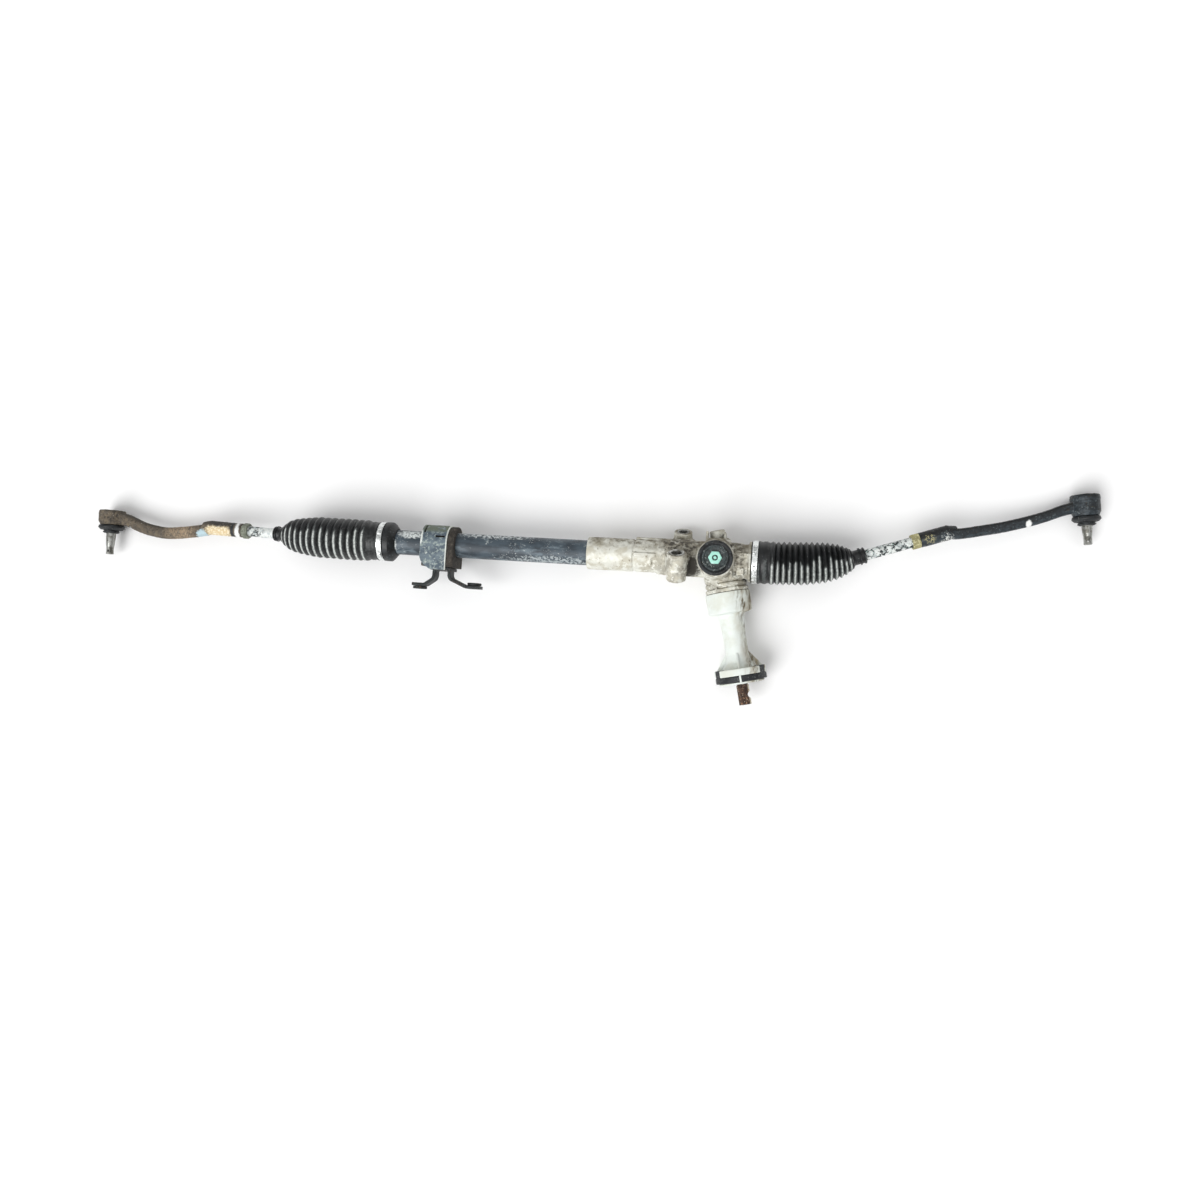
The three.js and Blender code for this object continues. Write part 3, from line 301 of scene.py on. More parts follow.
    def done(self):
        self.feed(self.shader.inputs["Base Color"], self.colour)
        self.feed(self.shader.inputs["Roughness"], self.rough)
        self.feed(self.shader.inputs["Metallic"], self.metal)
        if self.normal:
            self.links.new(self.normal, self.shader.inputs["Normal"])
        return self.material


# Name: colour, roughness, metal, specular; layers of spots; grains.
PLAIN = {
    "black_paint": (
        (0x101213, 0.42, 0.1),
        [((8, 0.45, 0.62), 0x25292c, 0.55),
         ([(2.2, 0.58, 0.66), (14, 0.45, 0.6)], 0x5d6364, 0.7),
         ([(1.2, 0.64, 0.7), (9, 0.5, 0.62)], 0xa9adab, 0.7),
         ([(1.8, 0.62, 0.7), (22, 0.5, 0.6)], 0x3c2a1e, 0.85)],
        [(1.4, 0.14, 0.6)]),
    "bracket_steel": (
        (0x1f2223, 0.55, 0.25),
        [((6, 0.45, 0.6), 0x34393a, 0.65),
         ([(2.5, 0.55, 0.64), (12, 0.42, 0.58)], 0x5a4a3d, 0.85),
         ([(1.5, 0.6, 0.68), (10, 0.5, 0.6)], 0x8d9290, 0.7)],
        [(1.6, 0.2, 0.7)]),
    "bright_steel": (
        (0xa9aaa6, 0.33, 0.9),
        [((7, 0.46, 0.62), 0x77766f, 0.45),
         ([(2.4, 0.54, 0.64), (12, 0.4, 0.58)], 0x4a463f, 0.75, 0.3),
         ([(1.6, 0.64, 0.7), (9, 0.5, 0.6)], 0x6b5340, 0.85, 0.1)],
        [(1.2, 0.06, 0.6)]),
    "clamp_steel": (
        (0xdfe2e1, 0.24, 0.85),
        [((5, 0.5, 0.62), 0xf4f6f5, 0.4, 0.4),
         ([(2.6, 0.57, 0.64), (10, 0.42, 0.58)], 0x4c5050, 0.6, 0.5)],
        [(2, 0.1, 0.7)]),
    "black_rubber": (
        (0x14171a, 0.5, 0.0, 0.5),
        [((5, 0.46, 0.62), 0x262a2c, 0.65),
         ([(2.2, 0.58, 0.68), (9, 0.45, 0.6)], 0x777a76, 0.85)],
        [(1.0, 0.1, 0.6)]),
    "bush_rubber": (
        (0x2e2a25, 0.75, 0.0, 0.4),
        [((4, 0.45, 0.62), 0x46413a, 0.85),
         ([(1.8, 0.6, 0.68), (8, 0.45, 0.6)], 0x87837a, 0.9)],
        [(1.2, 0.18, 0.7)]),
    "plug_face": (
        (0x252b2c, 0.5, 0.1),
        [((3, 0.48, 0.6), 0x3a4344, 0.6),
         ([(1.5, 0.58, 0.64), (6, 0.42, 0.58)], 0xb9bfba, 0.7)],
        [(1.2, 0.15, 0.7)]),
    "acetal": (
        (0xd9d4c0, 0.45, 0.0, 0.5),
        [((4, 0.5, 0.68), 0xc2bb9f, 0.5)],
        [(0.8, 0.03, 0.5)]),
}


def plain(name):
    base, layers, grains = PLAIN[name]
    f = Finish(name, *base)
    for layer in layers:
        f.layer(*layer)
    for grain in grains:
        f.grain(*grain)
    return f.done()


def cast_aluminium():
    f = Finish("cast_aluminium", 0xdcdcd2, 0.5, 0.2)
    f.layer((15, 0.42, 0.62), 0xc4c0b0, 0.62)
    right = f.slope(X, -100, -50)
    f.layer([(12, 0.4, 0.6), right], 0xa09c8f, 0.66)
    # Painted highlight: lighter patches on the lower (-Y) side, which faces the key light.
    f.layer([(6, 0.52, 0.64), f.slope(Y, 6, -14)], 0xe6e6dc, 0.55)
    f.layer([(2.6, 0.58, 0.7), (14, 0.45, 0.6)], 0x7d735f, 0.8)
    # Painted shade: darker where the surface faces +Y, away from the key light.
    f.layer([f.facing(Y, 0.2, 0.9), (9, 0.35, 0.6)], 0x77705f, 0.8)
    # Painted shade: the front lug's shaded right side and its shadow on the casing.
    f.layer(f.patch((-33, -9, 12), (17, 15, 18), 0.5), 0x3a3731, 0.85)
    f.layer([f.patch((-42, 14, 14), (22, 12, 16), 0.7), (4, 0.4, 0.6)], 0x4f4b43, 0.8)
    # Painted shade: the shaded right side of the yoke tower, away from the key light.
    f.layer([f.patch((20, 4, 10), (18, 22, 16), 0.7), (5, 0.4, 0.62)], 0x5d584d, 0.8)
    # Grime and painted shade in crevices, from ambient-occlusion masks.
    f.layer([f.crevice(8, 0.3, 0.8), (6, 0.25, 0.5)], 0x3b372e, 0.85)
    f.layer(f.crevice(3, 0.35, 0.75), 0x3f3a31, 0.85)
    f.layer([(1.7, 0.62, 0.7), (20, 0.42, 0.6), right], 0x2c2a26, 0.85)
    f.grain(1.1, 0.3, 0.5, detail=3)
    f.grain(4.5, 0.6, 0.4)
    return f.done()


def machined_aluminium():
    f = Finish("machined_aluminium", 0xc2c4c2, 0.34, 0.9)
    f.layer((6, 0.45, 0.65), 0xa5a7a5, 0.45)
    f.grain(0.5, 0.05, 0.5, stretch=(6, 1, 1))
    return f.done()


def tube_paint():
    f = Finish("tube_paint", 0x46525b, 0.42, 0.1)
    f.layer(f.noise(14, 0.42, 0.6, stretch=(0.4, 1, 1)), 0x323b43, 0.5)
    f.layer(f.noise(9, 0.55, 0.66, stretch=(0.35, 1, 1)), 0x65727a, 0.6)
    scuffs = f.both(f.noise(2.4, 0.58, 0.66, stretch=(0.5, 1, 1)), f.noise(26, 0.48, 0.6))
    f.layer(scuffs, 0xb3bbbb, 0.7)
    f.layer([(1.6, 0.62, 0.68), (20, 0.5, 0.6)], 0xe4e8e6, 0.7)
    f.layer([(1.3, 0.66, 0.7), (30, 0.5, 0.6)], 0x5b4636, 0.85)
    f.layer(f.patch((-396, -6, 14), (6, 9, 9), 0.6), 0xdfe4e2, 0.7)
    f.layer([f.patch((-372, 10, 12), (15, 5, 10), 0.8), (2, 0.4, 0.5)], 0xd8dedd, 0.7)
    f.layer([f.patch((-270, 14, 8), (45, 4, 9), 0.9), (3, 0.45, 0.55)], 0xc9cfd0, 0.7)
    f.layer([f.patch((-195, -12, 8), (50, 5, 9), 1.0), (3, 0.45, 0.55)], 0xa6aeb0, 0.7)
    f.grain(2.2, 0.18, 0.6)
    f.grain(0.7, 0.06, 0.5)
    return f.done()


def bracket_paint():
    f = Finish("bracket_paint", 0x66747d, 0.5, 0.1)
    f.layer((10, 0.42, 0.58), 0x4e5b66, 0.55)
    f.layer((4, 0.52, 0.62), 0x8f9b99, 0.6)
    f.layer([(2, 0.56, 0.63), (9, 0.45, 0.6)], 0xc3cac4, 0.7)
    f.layer([f.slope(Y, 12, 17), (6, 0.35, 0.5)], 0x6a7365, 0.75)
    f.layer(f.patch((-323.6, 0, 22), (1.4, 44, 26), 0.35), 0xdfe3dc, 0.45, 0.3)
    f.layer(f.patch((-355.8, 6, 20), (1.8, 9, 9), 0.5), 0xdde2de, 0.5)
    f.layer([(1.4, 0.64, 0.7), (12, 0.5, 0.6)], 0x3c2f26, 0.85)
    f.grain(2.4, 0.2, 0.6)
    f.grain(0.6, 0.06, 0.5)
    return f.done()


def hardened_steel():
    f = Finish("hardened_steel", 0x8c8f93, 0.3, 0.95)
    f.layer((5, 0.46, 0.66), 0x74777b, 0.38)
    f.layer([(2, 0.6, 0.7), (14, 0.5, 0.62)], 0x4c4238, 0.6, 0.5)
    f.grain(0.6, 0.03, 0.5, stretch=(1, 5, 5))
    return f.done()


def input_steel():
    """The pinion's shaft: oiled steel inside, copper-brown rust on the serrated end."""
    f = Finish("input_steel", 0x8c8f93, 0.32, 0.9)
    f.layer((4, 0.45, 0.65), 0x6e7174, 0.42)
    outside = f.slope(Y, -140, -146)
    f.layer(outside, 0x4e3a2e, 0.6, 0.35)
    f.layer([outside, (3.5, 0.45, 0.58)], 0x33241c, 0.85, 0.1)
    f.layer(f.both(outside, f.slope(ACROSS_PINION, 11, 12)), 0xc9c2ae, 0.35, 0.8)
    f.layer([outside, (2.6, 0.56, 0.66)], 0x8f6a4e, 0.6, 0.3)
    f.layer([outside, (1.6, 0.62, 0.68)], 0xd9cdb8, 0.5, 0.5)
    f.grain(1.1, 0.2, 0.6)
    return f.done()


def rod_paint(name, bare, splashes):
    """A rod splashed with white paint, darker where it is bare."""
    f = Finish(name, 0xdfe3e0, 0.5, 0.05)
    f.layer((6, 0.48, 0.6), 0xbcc3c2, 0.6)
    f.layer(f.both(f.noise(4.2, 0.47, 0.53, distortion=0.6), bare(f)), 0x33393b, 0.5, 0.4)
    f.layer((2.2, 0.6, 0.64), splashes, 0.6)
    f.layer([(1.4, 0.64, 0.68), (9, 0.45, 0.55)], 0x6d5a45, 0.85)
    f.grain(2.4, 0.25, 0.7)
    return f.done()


def left_rod_paint():
    def bare(f):
        dark = f.patch((-582, 4, -8), (8, 14, 20), 0.5)
        return f.math("MAXIMUM", dark, f.both(f.noise(9, 0.5, 0.56), f.slope(X, -562, -576)))
    return rod_paint("left_rod_paint", bare, 0xaab8bc)


def right_rod_paint():
    def bare(f):
        near = f.slope(X, 186, 172)
        return f.math("MAXIMUM", near, f.noise(8, 0.42, 0.5))
    return rod_paint("right_rod_paint", bare, 0xa9c2bb)


def rusty_steel():
    """The left outer end: brown rust, tan along the middle, with splashes of paint near its socket."""
    f = Finish("rusty_steel", 0x5d554b, 0.8, 0.15)
    f.layer((7, 0.44, 0.62), 0x716656, 0.86)
    f.layer((3, 0.5, 0.64), 0x423d37, 0.86)
    # Painted shade: darker where the surface faces +Y, away from the key light.
    f.layer(f.facing(Y, 0.1, 0.9), 0x4a443c, 0.85)
    tan = f.patch((-684, 2, -20), (22, 16, 16), 0.5, 0.5)
    f.layer(f.both(tan, f.noise(2.4, 0.4, 0.6, stretch=(2.4, 0.6, 1))), 0xa08b72, 0.85)
    f.layer(f.both(tan, f.noise(1.6, 0.56, 0.64, stretch=(2.4, 0.6, 1))), 0xc2b196, 0.85)
    f.layer(f.patch((-631, 1, -8), (18, 9, 14), 0.45), 0xd8c39a, 0.75)
    f.layer([f.patch((-631, 1, -8), (19, 9, 14), 0.5), (2.2, 0.5, 0.6)], 0xefe6cd, 0.7)
    f.layer(f.patch((-655, -4, -12), (7, 7, 12), 0.6), 0xb4cbd3, 0.7)
    f.layer(f.patch((-627, 11.5, -14), (19, 5, 14), 0.4), 0x3c3834, 0.8)
    f.layer(f.patch((-636, -7.5, -14), (9, 3.4, 8), 0.4), 0x2f3133, 0.7)
    f.layer(f.patch((-611.5, 4, -12), (2.8, 13, 14), 0.2), 0x25282a, 0.6)
    f.layer(f.patch((-604.5, 3, -12), (3.8, 12, 14), 0.5), 0xeef0ee, 0.55)
    f.layer(f.patch((-760, -1, -16), (4, 4, 8), 0.5), 0x9da3a5, 0.7)
    f.layer([(1.3, 0.6, 0.68), (8, 0.4, 0.6)], 0xa8a49a, 0.8)
    # Grime and painted shade in crevices, from an ambient-occlusion mask.
    f.layer(f.crevice(4, 0.35, 0.85), 0x2a2622, 0.9)
    f.grain(2.6, 0.5, 0.8)
    f.grain(0.9, 0.2, 0.7)
    return f.done()


def dark_steel():
    """The right outer end: slate below, nearly black above from painted shade on the side away from the key
    light, with a few white chips.
    """
    f = Finish("dark_steel", 0x333c42, 0.45, 0.2)
    f.layer((8, 0.42, 0.62), 0x252c31, 0.5)
    # Painted shade: nearly black where the surface faces +Y, away from the key light.
    f.layer(f.facing(Y, -0.3, 0.35), 0x121517, 0.45)
    f.layer([(3, 0.5, 0.62), (16, 0.4, 0.6)], 0x141719, 0.6)
    f.layer([(2.2, 0.56, 0.66), (12, 0.44, 0.6)], 0x5c6568, 0.7)
    f.layer(f.patch((354.5, 63, -20), (3.4, 4.4, 9), 0.3), 0xf2f3f1, 0.6)
    f.layer([f.patch((262, 42, -14), (9, 9, 9), 0.6), (1.8, 0.5, 0.56)], 0xe0e2dd, 0.6)
    f.layer([f.patch((243, 39, -8), (8, 5, 9), 0.7), (2, 0.48, 0.54)], 0xa8a27a, 0.7)
    f.layer([(1.1, 0.66, 0.71), (10, 0.5, 0.6)], 0xb9bdbb, 0.7)
    f.layer([(2, 0.6, 0.68), (20, 0.5, 0.6)], 0x4a3f2c, 0.8)
    # Grime and painted shade in crevices, from an ambient-occlusion mask.
    f.layer(f.crevice(4, 0.35, 0.85), 0x0f1112, 0.85)
    f.grain(2.4, 0.4, 0.7)
    f.grain(0.8, 0.15, 0.6)
    return f.done()


def nut_steel(name, colour, spots):
    f = Finish(name, colour, 0.6, 0.45)
    f.layer((3, 0.46, 0.62), spots, 0.75, 0.2)
    f.layer((1.5, 0.58, 0.68), 0x38362c, 0.8, 0.1)
    f.grain(1.4, 0.2, 0.7)
    return f.done()


def boot_rubber():
    f = Finish("boot_rubber", 0x0b0d0e, 0.38, 0.0, 0.5)
    f.layer((6, 0.45, 0.65), 0x15181a, 0.5)
    dust = f.attribute("dust")
    streaky = f.math("ADD", dust, f.math("MULTIPLY", f.math("SUBTRACT", f.raw_noise(3, detail=6), 0.5),
                                         0.9))
    f.layer(f.ramp(streaky, 0.15, 0.8), 0x5f6463, 0.8)
    f.layer([f.ramp(streaky, 0.6, 1.0), (1.6, 0.3, 0.55)], 0xc6cac6, 0.85)
    f.layer([(1.2, 0.66, 0.7), (9, 0.5, 0.6)], 0xd5d8d4, 0.8)
    f.grain(0.8, 0.08, 0.6)
    return f.done()


def white_plastic():
    f = Finish("white_plastic", 0xe2e8e3, 0.42, 0.0, 0.4)
    f.layer((24, 0.42, 0.62), 0xd8dcd2, 0.5)
    # Darker towards the right side, away from the key light: brown dirt streaks and painted shade.
    right = f.slope(ACROSS_PINION, 4, 26)
    streaks = f.noise(10, 0.36, 0.66, stretch=(1.4, 0.35, 1), detail=8)
    f.layer(f.both(right, streaks), 0xa0957f, 0.7)
    f.layer(f.both(f.slope(ACROSS_PINION, 10, 24), f.noise(6, 0.45, 0.62, stretch=(1.6, 0.4, 1), detail=8)),
            0x6f6552, 0.8)
    # Grime and painted shade in crevices, from an ambient-occlusion mask.
    f.layer([f.crevice(5, 0.35, 0.85), (5, 0.3, 0.6)], 0x8d8471, 0.8)
    f.layer([(0.9, 0.66, 0.72), (12, 0.5, 0.6)], 0x8b8476, 0.8)
    f.grain(1.5, 0.05, 0.5)
    return f.done()


def green_plastic():
    f = Finish("green_plastic", 0xa4e0cf, 0.45, 0.0, 0.5)
    f.layer((3, 0.5, 0.65), 0xc4f0e6, 0.4)
    away = f.math("MAXIMUM", f.slope(X, -8.6, -9.4), f.slope(X, 8.6, 9.4))
    f.layer([(1.4, 0.6, 0.66), (5, 0.45, 0.6)], 0x2d4f4a, 0.7)
    f.layer(away, 0x3a4341, 0.6)
    f.grain(1, 0.05, 0.5)
    return f.done()


# ---- Shapes ----

def placed(origin, x, y):
    """From a local frame in millimetres, given in the gear's frame, to the part's frame in metres."""
    x, y = Vector(x).normalized(), Vector(y).normalized()
    turn = Matrix((x, y, x.cross(y))).transposed().to_4x4()
    return Matrix.Translation(ORIGIN * MM) @ Matrix.Scale(MM, 4) @ Matrix.Translation(Vector(origin)) @ turn


def soften(profile, radius, steps=4, closed=False):
    """Rounds the corners of a [along, radius] profile."""
    points = [Vector(p) for p in profile]
    count = len(points)
    result = []
    for i, corner in enumerate(points):
        if not closed and i in (0, count - 1):
            result.append(corner)
            continue
        before, after = points[i - 1] - corner, points[(i + 1) % count] - corner
        if before.length < 1e-6 or after.length < 1e-6:
            continue
        bend = pi - before.angle(after)
        if bend < radians(6):
            result.append(corner)
            continue
        cut = min(radius * tan(bend / 2) if bend < 2.6 else radius, 0.48 * before.length,
                  0.48 * after.length)
        start, end = corner + before.normalized() * cut, corner + after.normalized() * cut
        for k in range(steps + 1):
            t = k / steps
            result.append(start * (1 - t) ** 2 + corner * 2 * t * (1 - t) + end * t * t)
    return [tuple(p) for p in result]


def lathe(profile, segments=96, closed=False, shape=None):
    """A solid of revolution about X. shape(x, r, angle) may change a point's (x, r)."""
    points, rings = [], []
    for along, radius in profile:
        if radius < 1e-6:
            rings.append([len(points)] * segments)
            points.append((along, 0, 0))
            continue
        ring = []
        for k in range(segments):
            angle = 2 * pi * k / segments
            x, r = shape(along, radius, angle) if shape else (along, radius)
            ring.append(len(points))
            points.append((x, r * cos(angle), r * sin(angle)))
        rings.append(ring)
    faces = []
    pairs = list(zip(rings, rings[1:])) + ([(rings[-1], rings[0])] if closed else [])
    for a, b in pairs:
        for k in range(segments):
            j = (k + 1) % segments
            corners = list(dict.fromkeys((a[k], a[j], b[j], b[k])))
            if len(corners) > 2:
                faces.append(corners)
    return points, faces


def hollow(corners, edge, segments=96, steps=3, shape=None):
    """A closed profile with rounded corners, turned about X."""
    return lathe(soften(corners, edge, steps, True), segments, True, shape)


def ring(start, end, inner, outer, edge=0.3, segments=96):
    return hollow([(start, inner), (start, outer), (end, outer), (end, inner)], edge, segments)


def disc(start, end, radius, edge=0.3, segments=96):
    return lathe(soften([(start, 0), (start, radius), (end, radius), (end, 0)], edge, 3), segments)


def prism(outline, first, second, start, length):
    """A prism of a flat outline drawn along two directions."""
    along = first.cross(second)
    base = [first * a + second * b + along * start for a, b in outline]
    points = [tuple(p) for p in base] + [tuple(p + along * length) for p in base]
    count = len(base)
    faces = [list(range(count))[::-1], list(range(count, 2 * count))]
    faces += [[i, (i + 1) % count, count + (i + 1) % count, count + i] for i in range(count)]
    return points, faces


def block(low, high):
    outline = [(low[0], low[1]), (high[0], low[1]), (high[0], high[1]), (low[0], high[1])]
    return prism(outline, X, Y, low[2], high[2] - low[2])


def plate(line, thickness):
    """The outline of a bent plate of one thickness about a line of points."""
    line = [Vector(p) for p in line]
    upper, lower = [], []
    for i, point in enumerate(line):
        arriving = (point - line[i - 1]).normalized() if i else None
        leaving = (line[i + 1] - point).normalized() if i < len(line) - 1 else None
        heading = ((arriving or leaving) + (leaving or arriving)).normalized()
        reach = thickness / 2 / heading.dot(arriving or leaving)
        across = Vector((-heading.y, heading.x)) * reach
        upper.append(point + across)
        lower.append(point - across)
    return [tuple(p) for p in upper + lower[::-1]]


def smooth_line(points, steps):
    """Points on a Catmull-Rom curve, with their directions."""
    points = [Vector(p).to_3d() for p in points]
    ends = [2 * points[0] - points[1]] + points + [2 * points[-1] - points[-2]]
    result = []
    for i in range(len(points) - 1):
        a, b, c, d = ends[i:i + 4]
        last = i == len(points) - 2
        for k in range(steps + last):
            t = k / steps
            square, cube = 2 * a - 5 * b + 4 * c - d, 3 * b - a - 3 * c + d
            at = (2 * b + (c - a) * t + square * t * t + cube * t ** 3) / 2
            heading = (c - a) + 2 * square * t + 3 * cube * t * t
            result.append((at, heading.normalized(), (i + t) / (len(points) - 1)))
    return result


def swept(line, up, section, segments=48):
    """A closed bar along points with directions. section(share, angle) gives a point across it."""
    points, faces = [], []
    for at, heading, share in line:
        side = up.cross(heading).normalized()
        for k in range(segments):
            a, b = section(share, 2 * pi * k / segments)
            points.append(tuple(at + side * a + up * b))
    count = len(line)
    for i in range(count - 1):
        for k in range(segments):
            j = (k + 1) % segments
            faces.append([i * segments + k, i * segments + j, (i + 1) * segments + j,
                          (i + 1) * segments + k])
    faces.append(list(range(segments))[::-1])
    faces.append([(count - 1) * segments + k for k in range(segments)])
    return points, faces


def build(name, shapes):
    """One object from pairs of a shape, as (points, faces), and its frame."""
    body = bmesh.new()
    for (points, faces), place in shapes:
        made = [body.verts.new(place @ Vector(p)) for p in points]
        fresh = [body.faces.new([made[i] for i in face]) for face in faces]
        bmesh.ops.recalc_face_normals(body, faces=fresh)
    mesh = bpy.data.meshes.new(name)
    body.to_mesh(mesh)
    body.free()
    return linked(name, mesh)


def apply(thing):
    bpy.context.view_layer.update()
    graph = bpy.context.evaluated_depsgraph_get()
    mesh = bpy.data.meshes.new_from_object(thing.evaluated_get(graph))
    old = thing.data
    thing.modifiers.clear()
    thing.data = mesh
    mesh.name = thing.name
    bpy.data.meshes.remove(old)
    return thing


def boolean(thing, operation, other):
    tool = thing.modifiers.new("cut", "BOOLEAN")
    tool.operation = operation
    tool.solver = "MANIFOLD"
    tool.object = other
    apply(thing)
    bpy.data.objects.remove(other)
    return thing


def cut(thing, shape, place):
    return boolean(thing, "DIFFERENCE", build("cutter", [(shape, place)]))


def fuse(thing, voxel, rounds, grain=0.0, grain_size=4.0):
    """Joins overlapping solids into one skin with soft corners and a grain of its own."""
    remesh = thing.modifiers.new("fuse", "REMESH")
    remesh.mode = "VOXEL"
    remesh.voxel_size = voxel * MM
    soft = thing.modifiers.new("soft", "SMOOTH")
    soft.factor = 0.5
    soft.iterations = rounds
    if grain:
        texture = bpy.data.textures.new(thing.name + "_grain", "CLOUDS")
        texture.noise_scale = grain_size * MM
        texture.noise_depth = 2
        rough = thing.modifiers.new("grain", "DISPLACE")
        rough.texture = texture
        rough.texture_coords = "LOCAL"
        rough.strength = grain * MM
        rough.mid_level = 0.5
    return apply(thing)


def bevel(thing, width, segments=3, angle=35):
    edge = thing.modifiers.new("edge", "BEVEL")
    edge.width = width * MM
    edge.segments = segments
    edge.limit_method = "ANGLE"
    edge.angle_limit = radians(angle)
    return apply(thing)


def shade(thing, angle=38):
    mesh = thing.data
    mesh.polygons.foreach_set("use_smooth", [True] * len(mesh.polygons))
    mesh.set_sharp_from_angle(angle=radians(angle))
    return thing


def finished(thing, body, nodes, material, angle=38):
    """Shades a new piece, and sets its body, the nodes it stands for and its material."""
    shade(thing, angle)
    thing.data.materials.clear()
    thing.data.materials.append(material)
    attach(thing, body)
    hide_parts(*nodes)
    return thing


def about_x(turn):
    return Matrix.Rotation(radians(turn), 4, "X")


def sideways(x):
    """A frame at x whose own X is the old Y."""
    return Matrix.Translation((x, 0, 0)) @ Matrix.Rotation(pi / 2, 4, "Z")


# ---- Frames of the gear ----

GEAR = placed((0, 0, 0), X, Y)
YOKE = placed((0, 0, 0), Z, X)
LUG_TILT = radians(27)
LUG = placed((0, 0, 0), X, (0, sin(LUG_TILT), -cos(LUG_TILT)))
PINION = placed((5.8, 0, -14.8816), (sin(PINION_TILT), -cos(PINION_TILT), 0), Z)
GEAR_MIDDLE = -182
STOP_REACH = 225.4
FRONT_BOLT = (-44.5, -33)
REAR_BOLT = (-43.2, 33)
FOOT_HOLES = (-359.6, -291.5)
BALL_REACH = 308
BAND = 227 - BALL_REACH
CUFF_START, CUFF_END = BAND - 3.8, BAND + 18
FLOOR_DROP = 29.2
ROD_RADIUS = 6.4
GAP = 0.3

LEFT = dict(
    name="left", direction=-1, swing=radians(2.3), ball=(301.5, -1.2), lean=radians(0.2),
    stud=45.5, nut=(100.5, 108.8), nut_turn=0, socket_end=162, arm_radius=7.6, cap=11.5, seat=20.6,
    arm=[(152, -0.5), (176, -6.4), (213, -11.9), (236, -11), (255, -7.6), (279, -0.3), (299, 0.5)],
    boot=[(-60, 25), (-38, 25.6), (1, 25.2), (28, 21.8), (42, 17.5), (52, 10)], tip=(54, 64, 8.2),
    folds=14, fold_depth=2.7, crest=0.9, square=2.5,
)
RIGHT = dict(
    name="right", direction=1, swing=radians(19), ball=(305.6, -16.3), lean=radians(6.7),
    stud=40.5, nut=(103.5, 113), nut_turn=30, socket_end=154, arm_radius=6.3, cap=17.5, seat=22.2,
    arm=[(145, -1), (160, -4.8), (183, -7.8), (216, -11), (255, -11.7), (280, -10), (303, -10.5)],
    boot=[(-60, 25.6), (-23, 25.7), (0, 23.6), (16.5, 19.8), (31, 12.5)], tip=(34, 48, 8.7),
    folds=15, fold_depth=3.6, crest=1.0, square=3.4,
)


def ball_centre(side):
    return Vector((GEAR_MIDDLE + side["direction"] * BALL_REACH, 0, 0))


def rack_end(side):
    return placed(ball_centre(side), X * side["direction"], Y)


def rod_axes(side):
    droop = asin(FLOOR_DROP / hypot(*side["ball"]))
    across, up, out = cos(side["swing"]), sin(side["swing"]), side["direction"]
    along = Vector((out * across * cos(droop), up * cos(droop), -sin(droop)))
    return along, Vector((-out * up, across, 0))


def rod_frame(side):
    return placed(ball_centre(side), *rod_axes(side))


def outer_frame(side):
    along, towards = rod_axes(side)
    centre = ball_centre(side) + along * side["ball"][0] + towards * side["ball"][1]
    return placed(centre, (sin(side["lean"]), -cos(side["lean"]), 0), Z)


# ---- Housing ----

